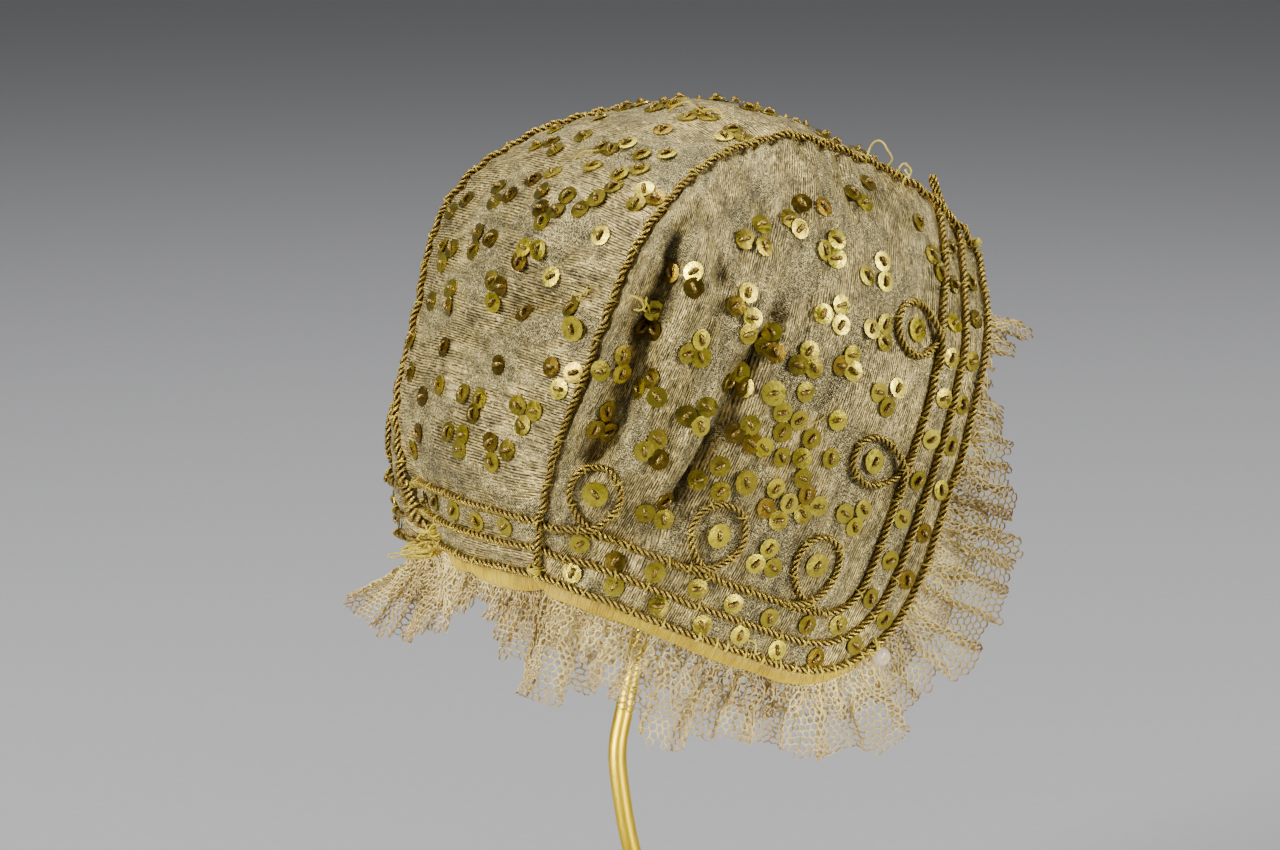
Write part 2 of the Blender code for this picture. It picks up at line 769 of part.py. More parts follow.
def turned(name, profile, steps, finish, parent):
    """A solid turned round its own upright axis from a profile of radius and height, top to bottom."""
    points = [Vector((0, 0, profile[0][1]))]
    for radius, height in profile[1:-1]:
        for step in range(steps):
            turn = 2 * math.pi * step / steps
            points.append(Vector((radius * math.cos(turn), radius * math.sin(turn), height)))
    points.append(Vector((0, 0, profile[-1][1])))
    last = len(points) - 1
    rows = len(profile) - 2
    start = 1 + (rows - 1) * steps
    faces = [(0, 1 + j, 1 + (j + 1) % steps) for j in range(steps)]
    faces += grid_faces(rows, steps, True, start=1)
    faces += [(last, start + (j + 1) % steps, start + j) for j in range(steps)]
    return add_object(name, points, faces, finish, parent)


def make_stand(finish, bonnet):
    edge = FOOT_BEVEL
    foot = ((0, FOOT_HEIGHT), (FOOT_RADIUS - edge, FOOT_HEIGHT), (FOOT_RADIUS, FOOT_HEIGHT - edge),
            (FOOT_RADIUS, 0), (0, 0))
    turned("stand_foot", foot, FOOT_SIDES, finish, None)
    route = resample(smooth_curve([(y, z, 0.0) for x, y, z in ROD_ROUTE], FINE_STEPS), ROD_STEPS)
    seated = [(Vector((0.0, y, z)), Vector((1.0, 0.0, 0.0))) for y, z, x in route]
    make_tube("stand_rod", seated, ROD_RADIUS, ROD_SIDES, False, finish, None)
    profile = [(0.0, 0.0)]
    for part in REST_RINGS:
        radius = REST_RADIUS * part
        profile.append((radius, math.sqrt(REST_CURVE ** 2 - radius ** 2) - REST_CURVE))
    under = profile[-1][1] - REST_THICK
    profile += [(REST_RADIUS, under + REST_BEVEL), (REST_RADIUS - REST_BEVEL, under), (0.0, under)]
    rest = turned("stand_rest", profile, REST_SIDES, finish, bonnet)
    rest.location = Vector((0.0, REST_Y, REST_TOP)) * MM
    rest.rotation_euler = (REST_TILT, 0.0, 0.0)


def main():
    clear_scene()
    bonnet = bpy.data.objects.new("bonnet_place", None)
    bonnet.location = Vector((0.0, BONNET_Y, BONNET_Z)) * MM
    bonnet.rotation_euler = (LEAN, 0.0, 0.0)
    bpy.context.collection.objects.link(bonnet)
    cloth = material("metal_thread_silk", CLOTH_COLOUR, 0.55, 0.35)
    silk = material("yellow_silk", LINING_COLOUR, 0.6, 0.0)
    gold = material("gold_cord", CORD_COLOUR, 0.45, 0.6)
    spangle = material("gilt_spangle", SPANGLE_COLOUR, 0.3, 0.9)
    net = material("cotton_net", NET_COLOUR, 0.8, 0.0)
    pearl = material("button", BUTTON_COLOUR, 0.4, 0.0)
    brass = material("brass", BRASS_COLOUR, 0.3, 1.0)

    skin = bonnet_skin(SEAM_STEPS, EDGE_STEPS, STRIP_STEPS, PANEL_RINGS)
    (strip, strip_normals), panels = skin
    make_strip(strip, strip_normals, cloth, bonnet)
    make_panel("side_panel_right", -1, *panels[-1], cloth, bonnet)
    make_panel("side_panel_left", 1, *panels[1], cloth, bonnet)
    make_lining(silk, bonnet)
    tree = BVHTree.FromPolygons(*whole_surface(skin, 0.0))
    frames = edge_frames(edge_loop(skin), EDGE_SAMPLES)
    make_border_cords(frames, tree, gold, bonnet)
    make_seam_cords(tree, gold, bonnet)
    make_rings(tree, gold, spangle, bonnet)
    make_frill(frames, net, bonnet)
    make_button(frames, pearl, bonnet)
    make_stand(brass, bonnet)


main()
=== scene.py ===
import math
import random

import bmesh
import bpy
from mathutils import Euler, Matrix, Vector, noise
from mathutils.bvhtree import BVHTree
from mathutils.kdtree import KDTree


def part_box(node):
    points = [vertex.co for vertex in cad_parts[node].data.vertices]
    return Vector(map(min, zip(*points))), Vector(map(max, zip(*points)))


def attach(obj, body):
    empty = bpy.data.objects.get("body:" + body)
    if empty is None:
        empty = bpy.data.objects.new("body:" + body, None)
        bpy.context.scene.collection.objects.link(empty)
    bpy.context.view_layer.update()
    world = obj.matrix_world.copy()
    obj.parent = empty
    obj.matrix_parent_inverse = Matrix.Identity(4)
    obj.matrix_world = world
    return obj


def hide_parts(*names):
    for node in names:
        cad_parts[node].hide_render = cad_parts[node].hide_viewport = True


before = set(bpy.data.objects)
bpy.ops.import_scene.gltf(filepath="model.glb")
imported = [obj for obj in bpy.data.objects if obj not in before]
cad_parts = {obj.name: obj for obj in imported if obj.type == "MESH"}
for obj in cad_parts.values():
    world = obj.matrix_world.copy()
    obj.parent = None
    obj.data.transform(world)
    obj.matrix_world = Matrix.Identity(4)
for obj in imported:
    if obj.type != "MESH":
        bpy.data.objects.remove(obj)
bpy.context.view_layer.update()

# The camera stands behind the bonnet's right shoulder, a little above it, and looks at its cheek
# through a long lens. Its small shift keeps the bonnet where it sits in the photograph's frame.
VIEW_TURN = math.radians(237)
VIEW_RISE = math.radians(12)
VIEW_AWAY = 0.9
LENS = 101.25
SENSOR = 36.0
PICTURE_WIDTH = 1280
PICTURE_HEIGHT = 850
LOOKED_AT = Vector((0.0, -0.009, 0.178))
LOOKED_AT_PIXEL = (700, 390)

view_back = Vector((math.sin(VIEW_TURN) * math.cos(VIEW_RISE),
                    -math.cos(VIEW_TURN) * math.cos(VIEW_RISE), math.sin(VIEW_RISE)))
view_right = Vector((math.cos(VIEW_TURN), math.sin(VIEW_TURN), 0.0))
view_up = view_back.cross(view_right)
eye = LOOKED_AT + view_back * VIEW_AWAY
bpy.ops.object.camera_add(
    location=eye, rotation=Matrix((view_right, view_up, view_back)).transposed().to_euler())
camera = bpy.context.object
camera.name = "photo_camera"
camera.data.lens = LENS
camera.data.sensor_width = SENSOR
camera.data.shift_x = (PICTURE_WIDTH / 2 - LOOKED_AT_PIXEL[0]) / PICTURE_WIDTH
camera.data.shift_y = (LOOKED_AT_PIXEL[1] - PICTURE_HEIGHT / 2) / PICTURE_WIDTH
camera.data.clip_end = 50
bpy.context.scene.camera = camera


# The crown strip and the two side panels are silk woven with metal thread. The strip runs from the
# forehead over the crown to the nape, and a domed panel is sewn to each of its edges, a little
# gathered over the ear. The cloth hangs slack in two deep creases towards the back.
# Lengths are in millimetres, in the bonnet's own upright frame: x to the wearer's left, y to the
# back, z up. It sits on its stand tipped back by LEAN.
MM = 0.001
LEAN = math.radians(25)
CLOTH = 1.5
PLACE = (Matrix.Translation((0.0, -0.009, 0.178)) @ Matrix.Rotation(LEAN, 4, "X")
         @ Matrix.Scale(MM, 4))

#   y, z, half width, rise, lean in degrees, from the forehead to the nape
SEAM = (
    (-43.0, 56.5, 31.0, 3.5, 35),
    (-20.0, 64.5, 30.5, 4.5, 55),
    (6.0, 65.3, 31.0, 5.0, 66),
    (24.0, 62.8, 32.0, 5.0, 70),
    (39.0, 54.0, 34.0, 5.0, 72),
    (50.5, 43.5, 38.5, 5.5, 74),
    (60.5, 26.0, 43.0, 6.5, 76),
    (61.5, 8.0, 43.0, 8.0, 76),
    (59.5, -8.0, 40.0, 8.0, 76),
    (56.5, -32.0, 36.0, 7.0, 76),
    (44.0, -57.0, 27.5, 5.0, 76),
)
#   y, z, half width, lean in degrees, from the nape to the front corner and up the face
NECK_EDGE = (
    (44.0, -57.0, 27.5, 76),
    (39.5, -57.0, 37.5, 66),
    (31.5, -57.0, 45.5, 54),
    (19.0, -57.3, 51.0, 42),
    (4.0, -57.3, 54.3, 34),
    (-12.0, -57.0, 55.5, 30),
)
CORNER_RADIUS = 30.0
CORNER_AT = (-12.0, -27.0, 56.0, 28)
FACE_EDGE = (
    (-42.0, -27.0, 56.0, 28),
    (-41.5, -4.0, 56.0, 28),
    (-41.5, 20.0, 53.0, 30),
    (-42.5, 40.0, 45.0, 33),
    (-43.0, 56.5, 31.0, 35),
)
POLE_X = 61.0
POLE_Y = 8.0
POLE_Z = 3.0
#   side, start y, start z, end y, end z, depth, width
PANEL_FOLDS = (
    (-1, 57, 24, 56, 5, 3.0, 4.5),
    (-1, 56, 5, 53, -26, 3.2, 4.5),
    (-1, 51, 30, 50, -20, -1.4, 5.0),
    (-1, 29, 22, 32, 3, 1.6, 4.5),
    (-1, 32, 3, 32, -34, 1.8, 4.5),
    (1, 50, 20, 52, -16, 2.2, 6.0),
    (1, 24, 12, 30, -26, 1.6, 6.0),
)
#   start x, start z, end x, end z, depth, width
STRIP_FOLDS = (
    (-34, 18, -6, -2, 1.8, 7.0),
    (-28, -22, 6, -14, 1.2, 6.0),
    (6, 40, 26, 26, 1.2, 7.0),
)
# Sharper creases of the outer cloth, and the rolls beside them, each along its own line.
#   side, depth (a roll's is negative), width, and the line's places as y, z
CREASES = (
    (-1, 4.9, 1.7, ((54, 30), (54, 18), (52.5, 5), (51, -10), (50.5, -26))),
    (-1, -2.9, 2.6, ((52, 38), (57.5, 24), (58.5, 12), (57, -4), (55.5, -20))),
    (-1, -1.1, 3.5, ((48, 30), (48.5, 8), (46.5, -12), (45, -26))),
    (-1, 3.4, 1.5, ((27, 21), (29, 10), (31, -8), (31, -28))),
    (-1, -1.7, 2.8, ((31, 22), (33.5, 8), (35.5, -10), (35, -28))),
    (-1, 1.3, 2.0, ((43, 24), (42.5, 2), (41, -18))),
    (-1, 1.2, 2.2, ((17, 44), (19, 24), (22, 6))),
    (-1, 1.0, 2.2, ((5, 20), (9, -2), (11, -20))),
    (-1, 1.5, 1.8, ((50.5, 37), (46, 31), (44, 24))),
    (-1, 1.4, 1.7, ((45, 44), (41, 38), (38, 30))),
    (-1, 1.3, 1.8, ((38, 51), (34, 43), (31, 36))),
    (-1, 1.2, 1.8, ((28, 57), (25, 48), (24, 40))),
    (-1, 1.0, 2.0, ((10, 62), (9, 52), (12, 43))),
    (1, 2.2, 2.2, ((50, 22), (51, 2), (49, -22))),
    (1, -1.2, 3.2, ((54, 24), (55.5, 2), (53, -20))),
    (1, 1.6, 2.4, ((26, 20), (29, -5), (28, -28))),
    (1, 0.8, 2.4, ((12, 40), (15, 12), (14, -8))),
)
#   depth and width of a dent in the strip, and its line's places as x, y, z
DENTS = (
    (2.8, 2.1, ((-7, 66.5, -1), (-17, 66.5, 4), (-28, 65.5, 6), (-36, 63.5, 11))),
    (-1.5, 2.6, ((-8, 67, 5), (-20, 66.5, 10), (-33, 63.5, 17))),
    (1.8, 1.8, ((-11, 68, 9), (-21, 66, 15), (-27, 64, 22))),
    (1.7, 2.0, ((8, 67, -8), (-6, 67, -9), (-22, 66, -5), (-38, 62, 1))),
    (1.0, 2.0, ((-24, 63, 31), (-33, 61.5, 29), (-38, 60, 26))),
    (0.9, 2.4, ((10, 60, 35), (-4, 60, 37), (-18, 57, 42))),
    (1.0, 2.2, ((-30, 62, -20), (-18, 63, -26), (-4, 63, -24))),
)
#   how far in from the edge each border cord runs, along the neck and along the face
BORDER_INSETS = ((1.3, 1.3), (8.0, 9.2), (15.6, 18.0))
SEAM_STEPS = 110
EDGE_STEPS = 120
STRIP_STEPS = 44
PANEL_RINGS = [0.03 + 0.97 * (1 - (1 - step / 45) ** 1.25) for step in range(46)]


def ease(value):
    """A soft step from 0 to 1."""
    value = min(1.0, max(0.0, value))
    return value * value * (3 - 2 * value)


def resample(points, steps, closed=False):
    """Points (or rows) at even steps of a line's length, measured in their first columns."""
    line = [tuple(point) for point in points]
    if closed:
        line.append(line[0])
    lengths = [0.0]
    for a, b in zip(line, line[1:]):
        lengths.append(lengths[-1] + math.dist(a[:3], b[:3]))
    made = []
    index = 0
    for step in range(steps if closed else steps + 1):
        target = lengths[-1] * step / steps
        while index < len(line) - 2 and lengths[index + 1] < target:
            index += 1
        span = lengths[index + 1] - lengths[index]
        part = (target - lengths[index]) / span if span else 0.0
        made.append(tuple(a + (b - a) * part for a, b in zip(line[index], line[index + 1])))
    return made


def smooth_curve(rows, steps):
    """A smooth curve through the rows, read at even steps of its length."""
    first = tuple(2 * a - b for a, b in zip(rows[0], rows[1]))
    last = tuple(2 * a - b for a, b in zip(rows[-1], rows[-2]))
    guide = (first, *rows, last)
    fine = []
    for before, start, end, after in zip(guide, guide[1:], guide[2:], guide[3:]):
        for step in range(16):
            t = step / 16
            fine.append(tuple(
                0.5 * (2 * b + (c - a) * t + (2 * a - 5 * b + 4 * c - d) * t * t
                       + (3 * b - a - 3 * c + d) * t * t * t)
                for a, b, c, d in zip(before, start, end, after)))
    fine.append(tuple(rows[-1]))
    return resample(fine, steps)


def free_edge():
    """The rows of a side panel's free edge, with its front corner as an arc."""
    y, z, half, lean = CORNER_AT
    corner = []
    for angle in (22.5, 45.0, 67.5):
        turn = math.radians(angle)
        corner.append(
            (y - CORNER_RADIUS * math.sin(turn), z - CORNER_RADIUS * math.cos(turn), half, lean))
    return (*NECK_EDGE, *corner, *FACE_EDGE)


def fold_depth(folds, across, up, slack):
    """How far the folds sink the cloth at one place. A slack lining hangs deeper and wider below
    each fold, and spans the rolls."""
    depth = 0.0
    for start_a, start_z, end_a, end_z, sink, width in folds:
        run_a, run_z = end_a - start_a, end_z - start_z
        along = ((across - start_a) * run_a + (up - start_z) * run_z) / (run_a ** 2 + run_z ** 2)
        along = min(1.0, max(0.0, along))
        away = math.hypot(across - start_a - along * run_a, up - start_z - along * run_z)
        if sink > 0 or slack == 1:
            depth += sink * slack * math.exp(-(away / width / slack) ** 2)
    return depth


def panel_points(side, seam_steps, edge_steps, rings):
    """A side panel's rings of points, each running down the seam and back along the free edge, and
    where each point lay on the flat cloth."""
    seam = [(y, z, half, lean) for y, z, half, rise, lean in smooth_curve(SEAM, seam_steps)]
    edge = smooth_curve(free_edge(), edge_steps)
    made = []
    flat = []
    for ring in rings:
        row = []
        flat_row = []
        for y, z, half, lean in seam[:-1] + edge[:-1]:
            turn = math.radians(lean)
            spread = math.sin(turn * ring) / math.sin(turn)
            fall = (1 - math.cos(turn * ring)) / (1 - math.cos(turn))
            row.append(Vector((
                side * (POLE_X - (POLE_X - half) * fall),
                POLE_Y + (y - POLE_Y) * spread,
                POLE_Z + (z - POLE_Z) * spread)))
            unrolled = ring * turn / math.sin(turn)
            flat_row.append(((y - POLE_Y) * unrolled, (z - POLE_Z) * unrolled))
        made.append(row)
        flat.append(flat_row)
    return made, flat


def strip_points(seam_steps, across_steps):
    """The strip's rows of points, from the forehead to the nape, each from right to left, and where
    each point lay on the flat cloth."""
    seam = smooth_curve(SEAM, seam_steps)
    made = []
    flat = []
    walked = 0.0
    for index, (y, z, half, rise, lean) in enumerate(seam):
        before = seam[max(0, index - 1)]
        after = seam[min(len(seam) - 1, index + 1)]
        out = Vector((0.0, before[1] - after[1], after[0] - before[0])).normalized()
        walked += math.dist(before[:2], (y, z))
        row = []
        flat_row = []
        for step in range(across_steps + 1):
            share = 2 * step / across_steps - 1
            row.append(Vector((half * share, y, z)) + out * rise * (1 - share ** 2))
            flat_row.append((walked, half * share))
        made.append(row)
        flat.append(flat_row)
    return made, flat


def grid_normals(grid, wrap):
    """The unit normal at each point of a grid, on the outer side."""
    made = []
    for i, row in enumerate(grid):
        above = grid[max(0, i - 1)]
        below = grid[min(len(grid) - 1, i + 1)]
        normals = []
        for j, point in enumerate(row):
            left = row[j - 1] if wrap or j else row[0]
            right = row[(j + 1) % len(row)] if wrap else row[min(len(row) - 1, j + 1)]
            normal = (right - left).cross(below[j] - above[j]).normalized()
            out = normal.y * (point.y - POLE_Y) + normal.z * (point.z - POLE_Z)
            normals.append(normal if out + normal.x * point.x * 0.01 > 0 else -normal)
        made.append(normals)
    return made


def bonnet_skin(seam_steps, edge_steps, across_steps, rings, slack=1.0):
    """The strip's and both side panels' points and normals, which agree along the seams."""
    strip, strip_flat = strip_points(seam_steps, across_steps)
    strip_normals = grid_normals(strip, False)
    panels = {}
    for side in (-1, 1):
        panel, flat = panel_points(side, seam_steps, edge_steps, rings)
        normals = grid_normals(panel, True)
        column = 0 if side < 0 else across_steps
        for index in range(seam_steps + 1):
            shared = (strip_normals[index][column] + normals[-1][index]).normalized()
            strip_normals[index][column] = shared
            normals[-1][index] = shared
        folds = [fold[1:] for fold in PANEL_FOLDS if fold[0] == side]
        for ring, row, row_normals in zip(rings, panel, normals):
            hold = 1 - ring ** 6
            for index, normal in enumerate(row_normals):
                depth = fold_depth(folds, row[index].y, row[index].z, slack)
                row[index] = row[index] - normal * hold * depth
        panels[side] = (panel, normals, flat)
    for row, row_normals in zip(strip, strip_normals):
        for index, normal in enumerate(row_normals):
            hold = 1 - (2 * index / across_steps - 1) ** 6
            depth = fold_depth(STRIP_FOLDS, row[index].x, row[index].z, slack)
            row[index] = row[index] - normal * hold * depth
    return (strip, strip_normals, strip_flat), panels


def edge_loop(skin):
    """The bonnet's whole edge, once round from the middle of the forehead by way of the right side:
    each point with the wall's normal there."""
    (strip, strip_normals, strip_flat), panels = skin
    middle = len(strip[0]) // 2
    seam_steps = len(strip) - 1
    loop = list(zip(strip[0], strip_normals[0]))[middle:0:-1]
    for side in (-1, 1):
        panel, normals, flat = panels[side]
        edge = [(panel[-1][0], normals[-1][0])]
        edge += list(zip(panel[-1], normals[-1]))[:seam_steps:-1]
        if side > 0:
            edge += [(panel[-1][seam_steps], normals[-1][seam_steps])]
            edge.reverse()
            loop += edge
        else:
            loop += edge
            loop += list(zip(strip[-1], strip_normals[-1]))[:-1]
    loop += list(zip(strip[0], strip_normals[0]))[-2:middle:-1]
    return loop


def neck_share(point):
    """1 along the neck, 0 along the face and the forehead, and between them on the corner."""
    return 1 - ease((point.z - CORNER_AT[1] + CORNER_RADIUS) / CORNER_RADIUS)


def line_tree(line):
    """A tree that finds the nearest point of a line, and how far along it each point is."""
    tree = KDTree(len(line))
    walked = [0.0]
    for a, b in zip(line, line[1:]):
        walked.append(walked[-1] + math.dist(a, b))
    for index, point in enumerate(line):
        tree.insert(point, index)
    tree.balance()
    return tree, walked


def seam_line(side, steps):
    """The places down one of the long seams."""
    return [Vector((side * row[2], row[0], row[1])) for row in smooth_curve(SEAM, steps)]


skin = bonnet_skin(SEAM_STEPS, EDGE_STEPS, STRIP_STEPS, PANEL_RINGS)
rim_line = resample([place for place, normal in edge_loop(skin)], 900, True)
rim_tree = line_tree([Vector(place) for place in rim_line])[0]
seam_trees = {side: line_tree(seam_line(side, 500)) for side in (-1, 1)}
FAR = 1000.0


def crease_depth(side, y, z, wide=1.0):
    """How far the creases sink a side panel at one place, and the rolls raise it."""
    depth = 0.0
    for crease_side, sink, width, line in CREASES:
        if crease_side != side or (wide > 1 and sink < 0):
            continue
        least = FAR
        for (y0, z0), (y1, z1) in zip(line, line[1:]):
            run_y, run_z = y1 - y0, z1 - z0
            part = ((y - y0) * run_y + (z - z0) * run_z) / (run_y ** 2 + run_z ** 2)
            first, last = (y0, z0) == line[0], (y1, z1) == line[-1]
            fade = max(-part if first else 0.0, part - 1 if last else 0.0, 0.0)
            part = min(1.0, max(0.0, part))
            away = math.hypot(y - y0 - part * run_y, z - z0 - part * run_z)
            least = min(least, away * (1 + 0.6 * min(1.0, fade)))
        if least < 4 * width * wide:
            depth += sink * math.exp(-(least / width / wide) ** 2)
    return depth


def dent_depth(point):
    """How far the dents sink the strip at one place."""
    depth = 0.0
    for sink, width, line in DENTS:
        least = FAR
        for start, end in zip(line, line[1:]):
            start, run = Vector(start), Vector(end) - Vector(start)
            part = min(1.0, max(0.0, (point - start).dot(run) / run.length_squared))
            least = min(least, (point - start - run * part).length)
        depth += sink * math.exp(-(least / width) ** 2)
    return depth


#   how high the cloth's lumps are and how far apart, broad and small
LUMPS = ((0.45, 14), (0.24, 5.5))
#   the puckers along a seam: their length, their height, and how far from it they fade
PUCKER_LENGTH = 6.2
PUCKER = 0.48
PUCKER_FADES = 5.0
#   the depth and half width of the dips under a seam, a border cord and the hem
SEAM_DIP = (0.6, 1.7)
CORD_DIP = (0.4, 1.6)
HEM_DIP = (0.7, 1.2)


def swell(away, reach):
    """1 at a place, fading to 0 beyond its reach."""
    return math.exp(-(away / reach) ** 2)


def relief(point, side):
    """How far the cloth stands out at one place: soft lumps, creases and upright slack on the panels,
    puckers in the seams, and dips where the seams and the border cords are stitched."""
    out = sum(high * noise.noise(point / apart) for high, apart in LUMPS)
    if side:
        near_seam = seam_trees[side][0].find(point)[2]
        in_from_rim = rim_tree.find(point)[2]
        held = (1 - swell(near_seam, 2.6)) * ease((in_from_rim - 14) / 9)
        wobble = 1.3 * noise.noise(Vector((5, point.z / 9, point.x / 40)))
        out -= crease_depth(side, point.y + wobble, point.z) * held
        slack = 0.5 + 0.5 * noise.noise(point / 30 + Vector((3, 0, 0)))
        out += 0.7 * slack * noise.noise(Vector((side * 9, point.y / 4.5, point.z / 26)))
    else:
        out += 0.5 * noise.noise(Vector((point.x / 14, point.y / 6, point.z / 6)))
        out -= dent_depth(point)
    place, index, from_rim = rim_tree.find(point)
    far_puff = math.exp(-((point.x - 37) / 17) ** 2 - ((point.z + 24) / 36) ** 2)
    out += far_puff * ease((point.y - 28) / 16) * (1 - swell(from_rim, 5))
    near_side = side if side else (1 if point.x > 0 else -1)
    tree, walked = seam_trees[near_side]
    seam_place, index, away = tree.find(point)
    at = walked[index]
    gather = 1 + 1.1 * swell(at - 62, 30) * (1 if side else 0)
    beat = at / PUCKER_LENGTH + 0.7 * noise.noise(Vector((at / 17, near_side, 0)))
    out += PUCKER * gather * math.sin(2 * math.pi * beat) * math.exp(-away / (PUCKER_FADES * gather))
    out -= SEAM_DIP[0] * swell(away, SEAM_DIP[1])
    share = neck_share(place)
    for neck, face in BORDER_INSETS[1:]:
        out -= CORD_DIP[0] * swell(from_rim - face - (neck - face) * share, CORD_DIP[1])
    return out - HEM_DIP[0] * swell(from_rim, HEM_DIP[1])


#   how the left corner of the nape has slumped: how far it went, where, and how wide
SLUMP = Vector((3.0, 3.3, -4.8))
SLUMP_AT = Vector((32.0, 46.0, -50.0))
SLUMP_REACH = 27.0
#   how far the foot of the left seam is drawn in, and how wide on either side of it
TUCK = Vector((-11.5, 2.0, 0.0))
TUCK_REACH = {"strip": 14.0, "panel": 6.0}


def stand(point, drawn_in=True):
    """A place of the bonnet as it sits on its stand. The left corner of the nape has slumped, and the
    cloth and its trim are drawn in towards the strip along the foot of the left seam."""
    if drawn_in:
        seam_place, index, away = seam_trees[1][0].find(point)
        away /= TUCK_REACH["panel" if point.x > seam_place.x else "strip"]
        point = point + TUCK * (ease((-5 - point.z) / 45) * swell(away, 1))
    slumped = swell((point - SLUMP_AT).length, SLUMP_REACH)
    return PLACE @ (point + SLUMP * (ease((point.x - 8) / 20) * slumped))


def rumpled(grid, normals, side):
    """A grid of points with the cloth's relief."""
    return [[p + n * relief(p, side) for p, n in zip(row, ns)] for row, ns in zip(grid, normals)]


(strip, strip_normals, strip_flat), panels = skin
strip_cloth = rumpled(strip, strip_normals, 0)
panel_cloth = {}
pole_cloth = {}
for side in (-1, 1):
    panel, normals, flat = panels[side]
    panel_cloth[side] = rumpled(panel, normals, side)
    for index in range(SEAM_STEPS + 1):
        column = 0 if side < 0 else STRIP_STEPS
        panel_cloth[side][-1][index] = strip_cloth[index][column]
    pole_cloth[side] = sum(panel_cloth[side][0], Vector()) / len(panel_cloth[side][0])


def select_only(piece):
    bpy.ops.object.select_all(action="DESELECT")
    piece.select_set(True)
    bpy.context.view_layer.objects.active = piece


def apply_modifier(piece, kind, **settings):
    """Give a piece a modifier with its settings, and apply it."""
    select_only(piece)
    made = piece.modifiers.new(kind.lower(), kind)
    for name, value in settings.items():
        setattr(made, name, value)
    bpy.ops.object.modifier_apply(modifier=made.name)


def smooth_faces(piece, sharp):
    """Shade a piece smooth, apart from edges sharper than an angle in degrees."""
    select_only(piece)
    bpy.ops.object.shade_smooth_by_angle(angle=math.radians(sharp))


def add_cloth(name, columns, rows, place_of, flat_of, thick):
    """A flat grid of cloth, added and then shaped to its places, welded where it meets itself, and
    given its thickness on the inside. Its weave map keeps where each point lay on the flat cloth."""
    bpy.ops.object.select_all(action="DESELECT")
    bpy.ops.mesh.primitive_grid_add(x_subdivisions=columns, y_subdivisions=rows, size=1)
    piece = bpy.context.object
    piece.name = name
    mesh = piece.data
    mesh.name = name
    spots = [(round((v.co.x + 0.5) * columns), round((v.co.y + 0.5) * rows)) for v in mesh.vertices]
    weave = mesh.uv_layers[0]
    weave.name = "weave"
    for loop in mesh.loops:
        across, along = flat_of(*spots[loop.vertex_index])
        weave.uv[loop.index].vector = (across / 100, along / 100)
    for vertex, spot in zip(mesh.vertices, spots):
        vertex.co = stand(place_of(*spot))
    middle = PLACE @ Vector((0, POLE_Y, POLE_Z))
    mesh.update()
    facing = sum(face.normal.dot(face.center - middle) for face in mesh.polygons)
    bpy.ops.object.mode_set(mode="EDIT")
    bpy.ops.mesh.select_all(action="SELECT")
    bpy.ops.mesh.remove_doubles(threshold=0.00002)
    if facing < 0:
        bpy.ops.mesh.flip_normals()
    bpy.ops.object.mode_set(mode="OBJECT")
    apply_modifier(piece, "SOLIDIFY", thickness=thick * MM, offset=-1)
    smooth_faces(piece, 45)
    return piece


def paint_crease_shade(piece, depth_at):
    """Keep on each point of the cloth how deep in a crease it lies, where the finish darkens its colour as
    painted shade.
    """
    back = PLACE.inverted()
    depths = [min(1.0, max(0.0, depth_at(back @ vertex.co) / 3.5)) for vertex in piece.data.vertices]
    piece.data.attributes.new("painted_crease_shade", "FLOAT", "POINT").data.foreach_set("value", depths)


def put(tree, kind, inputs=None, **settings):
    """A new shader node with its settings, whose inputs are numbers or other nodes' outputs."""
    made = tree.nodes.new("ShaderNode" + kind)
    for name, value in settings.items():
        setattr(made, name, value)
    for socket, value in (inputs or {}).items():
        if isinstance(value, bpy.types.NodeSocket):
            tree.links.new(value, made.inputs[socket])
        else:
            made.inputs[socket].default_value = value
    return made


def kept(tree, name):
    """A value that is kept on each point of the piece."""
    return put(tree, "Attribute", attribute_name=name).outputs["Fac"]


def weave_map(tree):
    """Where each point lay on the flat cloth, in millimetres."""
    return put(tree, "Mapping", {"Vector": put(tree, "UVMap", uv_map="weave").outputs[0],
                                 "Scale": (100, 100, 100)}).outputs[0]


def maths(tree, operation, a, b=0.0, c=0.0):
    return put(tree, "Math", {0: a, 1: b, 2: c}, operation=operation).outputs[0]


def times(tree, a, b, add=None):
    """One value times another, with a third added."""
    return maths(tree, "MULTIPLY", a, b) if add is None else maths(tree, "MULTIPLY_ADD", a, b, add)


def ribs(tree, value, apart):
    """Even ribs across a value, which swing from -1 to 1."""
    return maths(tree, "SINE", times(tree, value, 2 * math.pi / apart))


def colour_ramp(tree, value, *stops):
    """Colours along a value. Each stop gives its position and its red, green and blue."""
    ramp = put(tree, "ValToRGB", {"Fac": value})
    elements = ramp.color_ramp.elements
    for index, (position, *colour) in ((0, stops[0]), (1, stops[-1])):
        elements[index].position = position
        elements[index].color = (*colour, 1)
    for position, *colour in stops[1:-1]:
        elements.new(position).color = (*colour, 1)
    return ramp.outputs[0]


def blend(tree, share, a, b, how="MIX"):
    """Two colours mixed. A plain colour is given as three numbers."""
    a = (*a, 1.0) if isinstance(a, tuple) else a
    b = (*b, 1.0) if isinstance(b, tuple) else b
    return put(tree, "MixRGB", {"Fac": share, "Color1": a, "Color2": b}, blend_type=how).outputs[0]


def spread(tree, value, low, high, to_low=0.0, to_high=1.0):
    """A value's range stretched to another one, and held inside it."""
    return put(tree, "MapRange", {"Value": value, "From Min": low, "From Max": high,
                                  "To Min": to_low, "To Max": to_high}).outputs[0]


def speckle(tree, vector, scale, stretch=(1, 1, 1), detail=2.0, rough=0.5):
    """Noise on a map, finer for a larger scale and drawn out by its stretch."""
    mapped = put(tree, "Mapping", {"Vector": vector, "Scale": stretch}).outputs[0]
    return put(tree, "TexNoise", {"Vector": mapped, "Scale": scale, "Detail": detail,
                                  "Roughness": rough}).outputs["Fac"]


